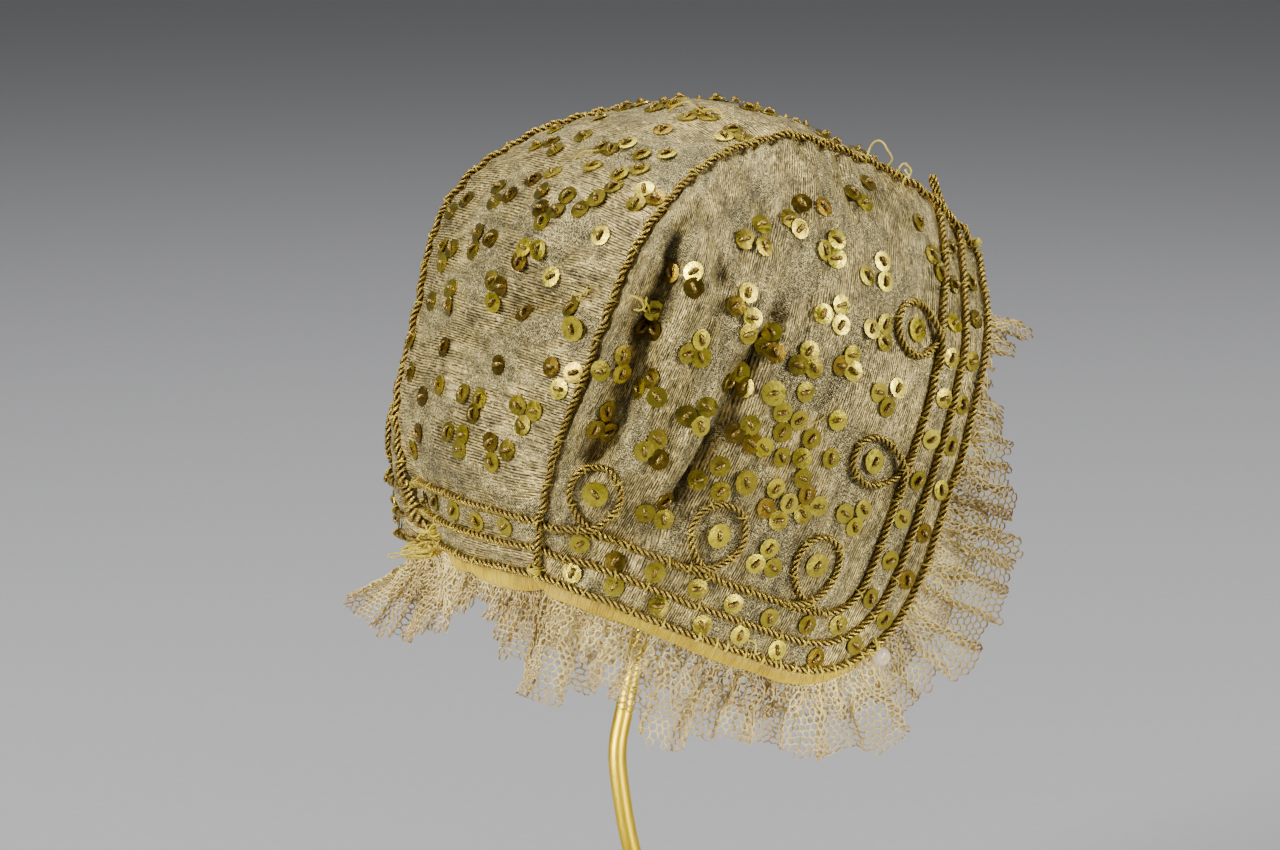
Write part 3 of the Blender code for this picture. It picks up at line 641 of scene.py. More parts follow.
def new_finish(name, **plain):
    """A finish with its shader's plain numbers set, its tree, and the shader."""
    finish = bpy.data.materials.new(name)
    finish.use_nodes = True
    tree = finish.node_tree
    shader = tree.nodes["Principled BSDF"]
    for socket, value in plain.items():
        shader.inputs[socket.replace("_", " ")].default_value = value
    return finish, tree, shader


def bump(tree, shader, height, strength, depth):
    """Raise a finish's surface by a height map. The depth is in metres."""
    raised = put(tree, "Bump", {"Height": height, "Strength": strength, "Distance": depth})
    tree.links.new(raised.outputs[0], shader.inputs["Normal"])


metal_silk, tree, shader = new_finish("metal thread silk", Metallic=0.4)
weave = weave_map(tree)
parts = put(tree, "SeparateXYZ", {"Vector": weave})
across, along = parts.outputs[0], parts.outputs[1]
wander = speckle(tree, weave, 1.0, (0.07, 0.05, 1), 2.0)
rib = ribs(tree, times(tree, wander, 1.6, across), 0.66)
pick = ribs(tree, times(tree, wander, 1.2, along), 0.56)
fine = speckle(tree, weave, 1.0, (2.4, 1.9, 1), 2.0, 0.6)
drawn = speckle(tree, weave, 1.0, (2.0, 0.50, 1), 3.0, 0.65)
plain = times(tree, times(tree, rib, pick), 0.11, times(tree, fine, 0.75, 0.125))
ribbed = times(tree, rib, 0.09, times(tree, drawn, 0.62, 0.19))
figure = spread(tree, speckle(tree, weave, 1.0, (0.075, 0.045, 1), 3.0, 0.6), 0.45, 0.55)
thread = times(tree, maths(tree, "SUBTRACT", ribbed, plain), figure, plain)
colour = colour_ramp(tree, thread, (0.36, 0.020, 0.013, 0.004), (0.44, 0.12, 0.086, 0.026),
                     (0.52, 0.37, 0.285, 0.098), (0.66, 0.98, 0.83, 0.38))
floats_at = spread(tree, speckle(tree, weave, 1.0, (0.05, 0.05, 1), 2.0), 0.50, 0.62)
float_line = spread(tree, speckle(tree, weave, 1.0, (1.6, 0.18, 1), 2.0), 0.52, 0.58)
colour = blend(tree, times(tree, times(tree, floats_at, float_line), 0.55), colour, (0.90, 0.70, 0.30))
# small pale gold specks on the cloth's colour: painted glints of the metal thread
painted_glint = spread(tree, speckle(tree, weave, 1.0, (1.6, 0.80, 1), 2.0), 0.61, 0.67)
colour = blend(tree, times(tree, painted_glint, 0.75), colour, (1.0, 0.90, 0.46))
warmed = blend(tree, 1.0, colour, (1.25, 1.12, 0.78), "MULTIPLY")
colour = blend(tree, times(tree, figure, 0.45), colour, warmed)
tarnish = spread(tree, speckle(tree, weave, 1.0, (0.035, 0.035, 1), 4.0, 0.65), 0.34, 0.64, 0.64, 1.22)
rumple_and_painted_shade = speckle(tree, weave, 1.0, (0.36, 0.15, 1), 4.0, 0.68)
# random tarnish, times a darkening deep in the creases down to about a third: painted shade
shade = times(tree, tarnish, spread(tree, kept(tree, "painted_crease_shade"), 0.15, 1.0, 1.0, 0.32))
# the colour follows the wrinkles that the bump raises, lighter on their ridges and darker in their hollows:
# painted highlight and painted shade
shade = times(tree, shade, spread(tree, rumple_and_painted_shade, 0.36, 0.64, 0.50, 1.50))
shade = put(tree, "CombineXYZ", {0: shade, 1: shade, 2: shade}).outputs[0]
colour = blend(tree, 1.0, colour, shade, "MULTIPLY")
tree.links.new(colour, shader.inputs["Base Color"])
tree.links.new(spread(tree, thread, 0.35, 0.7, 0.58, 0.32), shader.inputs["Roughness"])
bump(tree, shader, times(tree, rumple_and_painted_shade, 4.5, thread), 1.0, 0.0003)

AROUND = SEAM_STEPS + EDGE_STEPS
crown_strip_cloth = add_cloth(
    "crown_strip_cloth", SEAM_STEPS, STRIP_STEPS,
    lambda column, row: strip_cloth[column][row], lambda column, row: strip_flat[column][row], CLOTH)
side_cloths = {}
for side, name in ((-1, "right"), (1, "left")):
    cloth, flat = panel_cloth[side], panels[side][2]
    side_cloths[side] = add_cloth(
        f"side_panel_{name}_cloth", AROUND, len(PANEL_RINGS),
        lambda column, row: cloth[row - 1][column % AROUND] if row else pole_cloth[side],
        lambda column, row: flat[row - 1][column % AROUND] if row else (0.0, 0.0), CLOTH)


def polygon_area(outline):
    turns = zip(outline, outline[1:] + outline[:1])
    return abs(sum(a[0] * b[1] - a[1] * b[0] for a, b in turns)) / 2


def flat_size(outline):
    """The width and length of the smallest upright rectangle round a flat outline."""
    wide = [point[0] for point in outline]
    long = [point[1] for point in outline]
    return max(wide) - min(wide), max(long) - min(long)


strip_outline = [row[0] for row in strip_flat] + [row[-1] for row in reversed(strip_flat)]
for piece, node, side, outline in ((crown_strip_cloth, "crown_strip", 0, strip_outline),
                                   (side_cloths[-1], "side_panel_right", -1, panels[-1][2][-1]),
                                   (side_cloths[1], "side_panel_left", 1, panels[1][2][-1])):
    paint_crease_shade(piece, lambda place: crease_depth(side, place.y, place.z) if side else dent_depth(place))
    piece.data.materials.append(metal_silk)
    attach(piece, "root")
    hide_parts(node)
    wide, long = flat_size(outline)
    polygon_area(outline) * MM * MM


# The lining is plain yellow silk, sewn in behind the outer cloth. It shows inside the face opening,
# and past the hem as a soft rolled rim of fine ribs, wider along the neck than along the face.
LINING = 0.4
LINING_UNDER = CLOTH + 0.6
LINING_SHOWS_NECK = 3.7
LINING_SHOWS_FACE = 1.2
#   how far past the edge each row of the rim lies, as a share of what shows and in millimetres, and
#   how far it lies under the lining's own line
RIM_ROWS = ((0.0, 0.0, 0.0), (0.35, 0.0, -0.35), (0.8, 0.0, -0.3), (1.0, 0.0, 0.25),
            (0.8, 0.0, 0.7), (0.0, -1.0, 0.6))


def lining_shows(point):
    share = neck_share(point)
    uneven = 0.7 * share * noise.noise(point / 11)
    slipped = 2.0 * ease((point.y - 34) / 7) * max(0.0, 1 - ((abs(point.x) - 12) / 16) ** 2)
    return LINING_SHOWS_FACE + (LINING_SHOWS_NECK - LINING_SHOWS_FACE) * share + uneven + slipped


lining_skin = bonnet_skin(70, 80, 24, [step / 18 for step in range(1, 19)], 1.5)
(lining_strip, lining_normals, lining_flat), lining_panels = lining_skin
shell = bmesh.new()
weave_layer = shell.loops.layers.uv.new("weave")


def add_grid(grid, flat, wrap, flip):
    """Add a grid of points as faces, with each one's place on the flat cloth."""
    verts = [[shell.verts.new(point) for point in row] for row in grid]
    columns = len(grid[0])
    for i in range(len(grid) - 1):
        for j in range(columns if wrap else columns - 1):
            k = (j + 1) % columns
            corners = ((i, j), (i + 1, j), (i + 1, k), (i, k))
            if flip:
                corners = tuple(reversed(corners))
            face = shell.faces.new([verts[a][b] for a, b in corners])
            for loop, (a, b) in zip(face.loops, corners):
                loop[weave_layer].uv = (flat[a][b][0] / 100, flat[a][b][1] / 100)


def sink(grid, normals, depth):
    return [[p - n * depth for p, n in zip(row, ns)] for row, ns in zip(grid, normals)]


def new_piece(name, mesh):
    """A mesh's object, put in the scene."""
    piece = bpy.data.objects.new(name, mesh)
    bpy.context.collection.objects.link(piece)
    return piece


add_grid(sink(lining_strip, lining_normals, LINING_UNDER), lining_flat, False, True)
for side in (-1, 1):
    panel, normals, flat = lining_panels[side]
    sunk = sink(panel, normals, LINING_UNDER)
    for row, ns in zip(sunk, normals):
        for index, normal in enumerate(ns):
            row[index] = row[index] - normal * crease_depth(side, row[index].y, row[index].z, 1.5)
    pole = sum(sunk[0], Vector()) / len(sunk[0])
    add_grid([[pole] * len(sunk[0])] + sunk, [[(0.0, 0.0)] * len(sunk[0])] + flat, True, side > 0)
lining_edge = edge_loop(lining_skin)
rim_grid = []
rim_flat = []
walked = 0.0
for index in range(len(lining_edge) + 1):
    point, normal = lining_edge[index % len(lining_edge)]
    before = lining_edge[index - 1][0]
    after = lining_edge[(index + 1) % len(lining_edge)][0]
    out = normal.cross(after - before).normalized()
    walked += (point - before).length if index else 0.0
    shows = lining_shows(point)
    puff = 0.25 * noise.noise(Vector((walked / 3.5, 0, 0)))
    rim_grid.append([point - normal * (LINING_UNDER + deep + puff * share) + out * (shows * share + past)
                     for share, past, deep in RIM_ROWS])
    rim_flat.append([(walked, 3.0 * row) for row in range(len(RIM_ROWS))])
add_grid(rim_grid, rim_flat, False, False)
bmesh.ops.remove_doubles(shell, verts=shell.verts, dist=0.02)
bmesh.ops.recalc_face_normals(shell, faces=shell.faces)
for vert in shell.verts:
    vert.co = stand(vert.co)
mesh = bpy.data.meshes.new("yellow_lining")
shell.to_mesh(mesh)
shell.free()
yellow_lining = new_piece("yellow_lining", mesh)
apply_modifier(yellow_lining, "SOLIDIFY", thickness=LINING * MM, offset=-1)
smooth_faces(yellow_lining, 60)

yellow_silk, tree, shader = new_finish("yellow silk")
weave = weave_map(tree)
across = put(tree, "SeparateXYZ", {"Vector": weave}).outputs[0]
wander = speckle(tree, weave, 1.0, (0.5, 0.1, 1))
rib = ribs(tree, times(tree, wander, 0.6, across), 0.7)
streak = times(tree, speckle(tree, weave, 1.0, (1.1, 0.12, 1), 3.0, 0.6), 0.65, 0.18)
faded = speckle(tree, weave, 1.0, (0.09, 0.09, 1), 2.0)
tone = times(tree, rib, 0.06, times(tree, faded, 0.5, streak))
colour = colour_ramp(tree, tone, (0.46, 0.22, 0.115, 0.002), (0.64, 0.46, 0.29, 0.004),
                     (0.84, 0.68, 0.47, 0.010), (1.0, 0.88, 0.70, 0.11))
tree.links.new(colour, shader.inputs["Base Color"])
tree.links.new(spread(tree, streak, 0.3, 0.7, 0.58, 0.38), shader.inputs["Roughness"])
bump(tree, shader, tone, 0.9, 0.0005)
yellow_lining.data.materials.append(yellow_silk)
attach(yellow_lining, "root")
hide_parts("lining")


# The gold cord is three plies wound with gilt metal thread and twisted together. One length covers
# each seam and runs on over the border to the hem, three go right round the edge, and the innermost
# is thrown into five upright loops on each side. All of it is laid on the cloth and couched down.
PLY = 0.46
TWIST = 0.54
TWIST_LENGTH = 5.0
TWIST_STEPS = 10
PLY_SIDES = 5
CORD_HALF = PLY + TWIST
CROSSING = 1.5
#   y, z and size of each loop, from the nape to the forehead
LOOPS = ((47.8, -33.4, 1.10), (20.0, -32.3, 1.20), (-8.0, -30.7, 1.13), (-12.2, -2.8, 1.06),
         (-15.2, 30.6, 1.20))
#   along the border, away from it, and how far the cord lies on top of itself or of the border's
LOOP_ROWS = (
    (6.0, -8.6, 0.9), (2.6, -7.7, 0.3), (-2.2, -5.8, 0.0), (-5.3, -1.8, 0.0), (-4.9, 2.9, 0.0),
    (-2.2, 5.9, 0.0), (2.2, 5.9, 0.0), (4.9, 2.9, 0.0), (5.3, -1.8, 0.0), (2.2, -5.8, 0.8),
    (0.0, -6.8, 1.5), (-2.6, -7.7, 1.0), (-6.0, -8.6, 0.9),
)
#   how far below a loop's middle its sides start to draw together, and its foot from there
LOOP_NECK = 1.8
LOOP_FOOT = 6.8
#   a distance that is well outside the bonnet, to look in from
OUTSIDE = 200

cloth_points = [point for row in strip_cloth for point in row]
cloth_faces = []
columns = STRIP_STEPS + 1
for i in range(SEAM_STEPS):
    for j in range(STRIP_STEPS):
        a, b = i * columns + j, (i + 1) * columns + j
        cloth_faces.append((a, a + 1, b + 1, b))
for side in (-1, 1):
    start = len(cloth_points)
    cloth_points.append(pole_cloth[side])
    for row in panel_cloth[side]:
        cloth_points += row
    new_faces = [(start, start + 1 + j, start + 1 + (j + 1) % AROUND) for j in range(AROUND)]
    for i in range(len(PANEL_RINGS) - 1):
        for j in range(AROUND):
            k = (j + 1) % AROUND
            a, b = start + 1 + i * AROUND, start + 1 + (i + 1) * AROUND
            new_faces.append((a + j, b + j, b + k, a + k))
    cloth_faces += [tuple(reversed(face)) for face in new_faces] if side > 0 else new_faces
cloth_tree = BVHTree.FromPolygons(cloth_points, cloth_faces)


def edge_frames(loop, steps):
    """The edge at even steps: its point, the wall's normal, and the way out past the edge."""
    rows = resample([(*point, *normal) for point, normal in loop], steps, closed=True)
    frames = []
    for index, row in enumerate(rows):
        near = [rows[(index + shift) % steps] for shift in (-2, -1, 0, 1, 2)]
        normal = sum((Vector(other[3:]) for other in near), Vector()).normalized()
        along = (Vector(near[3][:3]) - Vector(near[1][:3])).normalized()
        frames.append((Vector(row[:3]), normal, normal.cross(along).normalized()))
    return frames


def lie(path, height, closed=False, over=None, lifts=None):
    """Lay a line on the cloth with its middle at a height above it, higher where it crosses another
    cord or itself: its points, and the ways up."""
    count = len(path)
    laid = []
    for index, point in enumerate(path):
        place, normal, face, away = cloth_tree.find_nearest(Vector(point))
        lift = height + (lifts[index] if lifts else 0.0)
        if over:
            lift += CROSSING * swell(over.find(place)[2], 2.6)
        laid.append((place + normal * lift, normal))
    for turn in range(2):
        soft = []
        for index, (place, up) in enumerate(laid):
            low = laid[(index - 1) % count if closed else max(0, index - 1)]
            high = laid[(index + 1) % count if closed else min(count - 1, index + 1)]
            soft.append((place * 0.5 + (low[0] + high[0]) * 0.25, (up * 2 + low[1] + high[1]).normalized()))
        laid = soft
    return laid


def add_mesh(name, points, faces, values=None):
    """One smooth object from points in millimetres in the bonnet's frame, with its named values."""
    mesh = bpy.data.meshes.new(name)
    mesh.from_pydata([stand(point) for point in points], [], faces)
    for label, numbers in (values or {}).items():
        mesh.attributes.new(label, "FLOAT", "POINT").data.foreach_set("value", numbers)
    mesh.shade_smooth()
    return new_piece(name, mesh)


def tube_faces(count, sides, closed, start=0):
    """The faces of a tube whose rings of points are stored one after another."""
    faces = []
    for i in range(count if closed else count - 1):
        a, b = start + i * sides, start + (i + 1) % count * sides
        faces += [(a + j, a + (j + 1) % sides, b + (j + 1) % sides, b + j) for j in range(sides)]
    if not closed:
        faces.append(tuple(reversed(range(start, start + sides))))
        faces.append(tuple(range(start + (count - 1) * sides, start + count * sides)))
    return faces


def twisted(name, laid, closed, ply=PLY, twist=TWIST, pitch=TWIST_LENGTH):
    """Three plies twisted round each other along a laid line."""
    line = [(*place, *up) for place, up in laid]
    ends = line + line[:1] if closed else line
    length = sum(math.dist(a[:3], b[:3]) for a, b in zip(ends, ends[1:]))
    steps = round(length / pitch) * TWIST_STEPS if closed else round(length / pitch * TWIST_STEPS)
    rows = resample(line, steps, closed)
    count = len(rows)
    points, crest_and_painted_shade, wound, faces = [], [], [], []
    for strand in range(3):
        start = len(points)
        for index, row in enumerate(rows):
            low = rows[(index - 1) % count if closed else max(0, index - 1)]
            high = rows[(index + 1) % count if closed else min(count - 1, index + 1)]
            along = (Vector(high[:3]) - Vector(low[:3])).normalized()
            across = along.cross(Vector(row[3:])).normalized()
            rise = across.cross(along)
            turn = -2 * math.pi * (index / TWIST_STEPS + strand / 3)
            off = (across * math.cos(turn) + rise * math.sin(turn)) * twist
            for side in range(PLY_SIDES):
                angle = turn + 2 * math.pi * side / PLY_SIDES
                from_axis = off + (across * math.cos(angle) + rise * math.sin(angle)) * ply
                points.append(Vector(row[:3]) + from_axis)
                # how far each point stands from the cord's axis, which the cord's finish uses to darken the
                # crevices between the plies as painted shade
                crest_and_painted_shade.append(min(1.0, from_axis.length / (ply + twist)))
                wound.append(index * pitch / TWIST_STEPS + strand * 3.7)
        faces += tube_faces(count, PLY_SIDES, closed, start)
    return add_mesh(name, points, faces, {"crest_and_painted_shade": crest_and_painted_shade, "wound": wound})


gold_cord, tree, shader = new_finish("gold cord", Metallic=0.85)
place = put(tree, "TexCoord").outputs["Object"]
worn = speckle(tree, place, 90.0, detail=3.0)
grain = speckle(tree, place, 1500.0, detail=3.0, rough=0.65)
turns = ribs(tree, kept(tree, "wound"), 0.42)
# The cord's colour follows this height: darker towards each ply's axis in the crevices, painted shade, and
# bright on the high specks of the fine grain, painted glints.
height = times(tree, turns, 0.12, times(tree, grain, 1.1, kept(tree, "crest_and_painted_shade")))
colour = colour_ramp(tree, spread(tree, height, 0.90, 1.75), (0.0, 0.022, 0.012, 0.002),
                     (0.36, 0.15, 0.078, 0.010), (0.62, 0.52, 0.34, 0.036), (1.0, 1.0, 0.86, 0.26))
dull = spread(tree, worn, 0.38, 0.62)
colour = blend(tree, times(tree, dull, 0.40), colour, (0.19, 0.12, 0.035))
tree.links.new(colour, shader.inputs["Base Color"])
tree.links.new(spread(tree, worn, 0.35, 0.65, 0.27, 0.48), shader.inputs["Roughness"])
bump(tree, shader, height, 0.9, 0.0002)


def finish_cord(piece, *nodes):
    piece.data.materials.append(gold_cord)
    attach(piece, "root")
    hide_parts(*nodes)


def inside_edge(neck, face):
    """A line at its distances in from the edge, along the neck and along the face."""
    return [point - out * (face + (neck - face) * neck_share(point)) for point, normal, out in frames]


frames = edge_frames(edge_loop(skin), 640)
border_lines = {}
for name, (neck, face) in zip(("edge", "middle", "inner"), BORDER_INSETS):
    path = resample(inside_edge(neck, face), 400, closed=True)
    border_lines[name] = lie(path, CORD_HALF, closed=True)
    finish_cord(twisted(f"{name}_gold_cord", border_lines[name], True), f"{name}_cord")

crossed = line_tree([place for name in ("middle", "inner") for place, up in border_lines[name]])[0]
seam_lines = {}
for side, name in ((-1, "right"), (1, "left")):
    seam_lines[side] = lie(seam_line(side, 400)[5:-4], CORD_HALF, over=crossed)
    finish_cord(twisted(f"seam_gold_cord_{name}", seam_lines[side], False), f"seam_cord_{name}")

inner_line = line_tree([place for place, up in border_lines["inner"]])[0]
loop_lines = []
loop_middles = []
for side in (-1, 1):
    for number, (y, z, size) in enumerate(LOOPS):
        middle, normal, face, away = cloth_tree.ray_cast(
            Vector((side * OUTSIDE, y, z)), Vector((-side, 0, 0)))
        foot = inner_line.find(middle)[0]
        inward = (middle - foot - normal * (middle - foot).dot(normal)).normalized()
        sideways = normal.cross(inward) * side
        drop = (middle - foot).length
        path = []
        lifts = []
        for x, up, lift in smooth_curve(LOOP_ROWS, 48):
            if up < -LOOP_NECK:
                up = -LOOP_NECK + (up + LOOP_NECK) * (drop / size - LOOP_NECK) / LOOP_FOOT
            path.append(middle + (sideways * x + inward * up) * size)
            lifts.append(lift)
        laid = lie(path, CORD_HALF * 0.9, lifts=lifts)
        loop_lines.append(laid)
        loop_middles.append((side, middle, normal))
        number_of = number + 1 if side < 0 else number + 6
        finish_cord(twisted(f"loop_gold_cord_{number_of}", laid, False, 0.42, 0.48, 4.6),
                    f"ring_cord_{number_of}")


# The cords are couched with waxed yellow silk: a small stitch over the cord every centimetre or so,
# closer and thicker along the hem at the front corner, and a knot where a seam meets the hem.
#   a stitch over the cord, across it and up from its middle
STITCH_ROWS = ((-1.25, -0.95), (-1.03, 0.1), (-0.58, 0.82), (0.0, 1.05), (0.58, 0.82), (1.03, 0.1),
               (1.25, -0.95))
STITCH_HALF = 0.24
HALF_TURN = [math.pi * step / 8 for step in range(9)]


class Threads:
    """Threads that are joined into one piece as they are laid."""

    def __init__(self):
        self.points = []
        self.faces = []
        self.tone = []

    def lay(self, path, radius, tone, sides=5):
        """One thread along its points, drawn finer at both ends."""
        start = len(self.points)
        count = len(path)
        up = Vector((0.31, 0.17, 0.93))
        for index, place in enumerate(path):
            along = (path[min(count - 1, index + 1)] - path[max(0, index - 1)]).normalized()
            across = along.cross(up).normalized()
            rise = across.cross(along)
            size = radius * (0.7 if index in (0, count - 1) else 1.0)
            for side in range(sides):
                turn = 2 * math.pi * side / sides
                self.points.append(place + (across * math.cos(turn) + rise * math.sin(turn)) * size)
                self.tone.append(tone)
        self.faces.extend(tube_faces(count, sides, False, start))

    def finish(self, name):
        piece = add_mesh(name, self.points, self.faces, {"tone": self.tone})
        piece.data.materials.append(waxed_thread)
        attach(piece, "root")
        return piece


def couch(threads, laid, every, radius, closed, draw, tone=0.5):
    """Stitches over a laid cord, unevenly spaced."""
    walked = 0.0
    due = every * 0.5
    count = len(laid)
    for index in range(1, count):
        place, up = laid[index]
        walked += (place - laid[index - 1][0]).length
        if walked < due:
            continue
        due += every * draw.uniform(0.7, 1.3)
        along = (laid[(index + 1) % count if closed else min(count - 1, index + 1)][0]
                 - laid[index - 1][0]).normalized()
        across = along.cross(up).normalized()
        slant = along * draw.uniform(-0.5, 0.5)
        threads.lay([place + across * x + up * h + slant * x for x, h in STITCH_ROWS], radius,
                    tone + draw.uniform(-0.3, 0.3))


waxed_thread, tree, shader = new_finish("waxed yellow thread", Roughness=0.55, Sheen_Weight=0.2)
place = put(tree, "TexCoord").outputs["Object"]
fibre = speckle(tree, place, 1800.0, detail=2.0)
colour = blend(tree, kept(tree, "tone"), (0.38, 0.24, 0.006), (0.84, 0.66, 0.018))
colour = blend(tree, times(tree, fibre, 0.25), colour, (0.92, 0.80, 0.12))
tree.links.new(colour, shader.inputs["Base Color"])
bump(tree, shader, fibre, 0.5, 0.0001)

draw = random.Random(11)
couching = Threads()
for name in ("edge", "middle", "inner"):
    couch(couching, border_lines[name], 10.0, 0.19, True, draw)
for side in (-1, 1):
    couch(couching, seam_lines[side], 11.0, 0.18, False, draw)
for laid in loop_lines:
    couch(couching, laid, 9.0, 0.17, False, draw)
corner_line = [row for row in border_lines["edge"] if row[0].x < 0 and row[0].y < 14 and row[0].z < -45]
couch(couching, corner_line, 4.4, 0.30, False, draw, 0.9)
for side in (-1, 1):
    for place, up in (seam_lines[side][0], seam_lines[side][-1]):
        across = Vector((1, 0, 0))
        for turn in range(9):
            lean = Matrix.Rotation(draw.uniform(-0.7, 0.7), 3, up)
            path = [place + lean @ (across * math.cos(a) * 1.9) + up * math.sin(a) * (1.5 + 0.1 * turn)
                    for a in HALF_TURN]
            couching.lay(path, STITCH_HALF, draw.uniform(0.6, 1.0))
couching.finish("couching_stitches")


# The spangles are flat rounds of gilt metal, worked in small sprigs of three over the cloth and in two
# rows between the border cords, with a larger one in each cord loop. Each is held through its middle
# hole by a short slanting stitch of gilt purl.
SPANGLE_HALF = 2.5
LARGE_HALF = 3.05
SPANGLE_SIDES = 12
#   where the near spangles lie in the photograph, sprig by sprig
PANEL_SPRIGS = (
    ((761, 225), (743, 241), (763, 247)), ((672, 274), (694, 272), (694, 288)),
    ((800, 206), (789, 219), (798, 230)), ((823, 207),), ((867, 184), (851, 195), (864, 203)),
    ((836, 240), (822, 251), (836, 259)), ((881, 262), (866, 276), (884, 282)),
    ((931, 255), (945, 253), (939, 272)), ((918, 223),), ((748, 293), (736, 306)),
    ((752, 318), (748, 334)), ((840, 305), (823, 314), (840, 325)), ((870, 329), (884, 324), (883, 341)),
    ((699, 339), (686, 353), (700, 357)), ((772, 333), (765, 347), (775, 353)),
    ((809, 351), (798, 365), (813, 368)), ((849, 355), (839, 365), (852, 371)),
    ((653, 379), (640, 389), (657, 397)), ((740, 371), (727, 382), (745, 388)), ((805, 392),),
    ((687, 416), (707, 407), (700, 426)), ((750, 425), (735, 433), (751, 443)),
    ((782, 412), (798, 420), (782, 432)), ((763, 447), (781, 457), (801, 458)), ((810, 438),),
    ((837, 420), (830, 458)), ((878, 392), (896, 388), (886, 407)), ((656, 439), (644, 451), (658, 459)),
    ((720, 466), (698, 480), (720, 491)), ((774, 487), (765, 508), (778, 520)), ((788, 503),),
    ((802, 478), (806, 494)), ((818, 506), (802, 513)), ((844, 513), (862, 509), (853, 526)),
    ((645, 512), (665, 501), (663, 518)), ((769, 548), (755, 563), (772, 567)),
    ((601, 371), (621, 373), (622, 355)), ((607, 411),), ((607, 431), (595, 429)),
    ((654, 309), (656, 331), (640, 326)),
)
PANEL_LARGE = ((773, 393), (745, 482))
STRIP_SPRIGS = (
    ((571, 308),), ((552, 367), (560, 389), (575, 373)), ((425, 395),), ((445, 347),),
    ((464, 394), (480, 399), (474, 414)), ((519, 405), (536, 411), (524, 426)), ((420, 431), (415, 445)),
    ((449, 432), (463, 435), (460, 449)), ((491, 442), (508, 450), (493, 462)),
    ((534, 181), (553, 174), (543, 192)), ((499, 188), (511, 196), (495, 202)), ((467, 200), (452, 212)),
    ((541, 209), (557, 212), (542, 222)), ((568, 196),), ((593, 167),), ((584, 137),),
    ((552, 143), (555, 150), (538, 147)), ((602, 148), (611, 150), (628, 145)),
    ((663, 131), (667, 155), (642, 155)), ((640, 170), (620, 175)), ((614, 187), (598, 200), (581, 210)),
    ((479, 233), (492, 239), (474, 250)), ((444, 247), (454, 249), (444, 263)),
    ((520, 261), (525, 248), (539, 250)), ((453, 289), (450, 306), (433, 301)),
)
STRIP_LARGE = ((575, 328),)
#   the two rows on the border: how far in along the neck and the face, and the spangles' spacing
BORDER_ROWS = ((11.9, 13.7, 10.3), (4.7, 5.2, 11.2))
SPRIG_SPACING = 16.0
SPRIG_CLEAR = 8.5
BORDER_CLEAR = 19.5
SPRIG_HALF = 2.9
#   how far off the cloth a spangle's middle lies
LEAST_LIFT = 0.12
MOST_LIFT = 1.2

bpy.ops.object.select_all(action="DESELECT")
bpy.ops.mesh.primitive_circle_add(vertices=SPANGLE_SIDES, radius=1.0, fill_type="NGON")
pattern = bpy.context.object
bpy.ops.object.mode_set(mode="EDIT")
bpy.ops.mesh.select_all(action="SELECT")
bpy.ops.mesh.inset(thickness=0.74, depth=0.0)
bpy.ops.transform.translate(value=(0, 0, 0.06))
bpy.ops.mesh.delete(type="FACE")
bpy.ops.object.mode_set(mode="OBJECT")
apply_modifier(pattern, "SOLIDIFY", thickness=0.10, offset=1)
spangle_points = [vertex.co.copy() for vertex in pattern.data.vertices]
spangle_faces = [tuple(face.vertices) for face in pattern.data.polygons]
bpy.data.objects.remove(pattern)
#   a purl stitch's middle line over the hole, and how thick it is there, in millimetres
PURL_ROWS = ((-1.3, -0.1, 0.16), (-0.95, 0.45, 0.38), (-0.35, 0.76, 0.44), (0.25, 0.78, 0.40),
             (0.85, 0.52, 0.42), (1.25, -0.1, 0.16))
PURL_SIZE = 1.25
purl_points = []
for x, height, half in PURL_ROWS:
    for side in range(6):
        turn = 2 * math.pi * side / 6
        purl_points.append(Vector((x, math.cos(turn) * half, height + math.sin(turn) * half)))
purl_faces = tube_faces(len(PURL_ROWS), 6, False)


def seen_at(px, py):
    """The place on the cloth that the photograph shows at a pixel, and its normal."""
    ray = (view_right * (px - LOOKED_AT_PIXEL[0]) - view_up * (py - LOOKED_AT_PIXEL[1])
           - view_back * LENS / SENSOR * PICTURE_WIDTH)
    turn_back = PLACE.inverted()
    place, normal, face, away = cloth_tree.ray_cast(turn_back @ eye, turn_back.to_3x3() @ ray)
    return place, normal


def in_picture(place):
    """The photograph's pixel at which the camera sees a place."""
    away = PLACE @ place - eye
    scale = LENS / SENSOR * PICTURE_WIDTH / -away.dot(view_back)
    return (LOOKED_AT_PIXEL[0] + scale * away.dot(view_right),
            LOOKED_AT_PIXEL[1] - scale * away.dot(view_up))


def cast_in(place, side):
    """The cloth under a place, looking in at a side panel from the side or at the strip."""
    if side:
        return cloth_tree.ray_cast(Vector((side * OUTSIDE, place.y, place.z)), Vector((-side, 0, 0)))[:2]
    return cloth_tree.find_nearest(place)[:2]


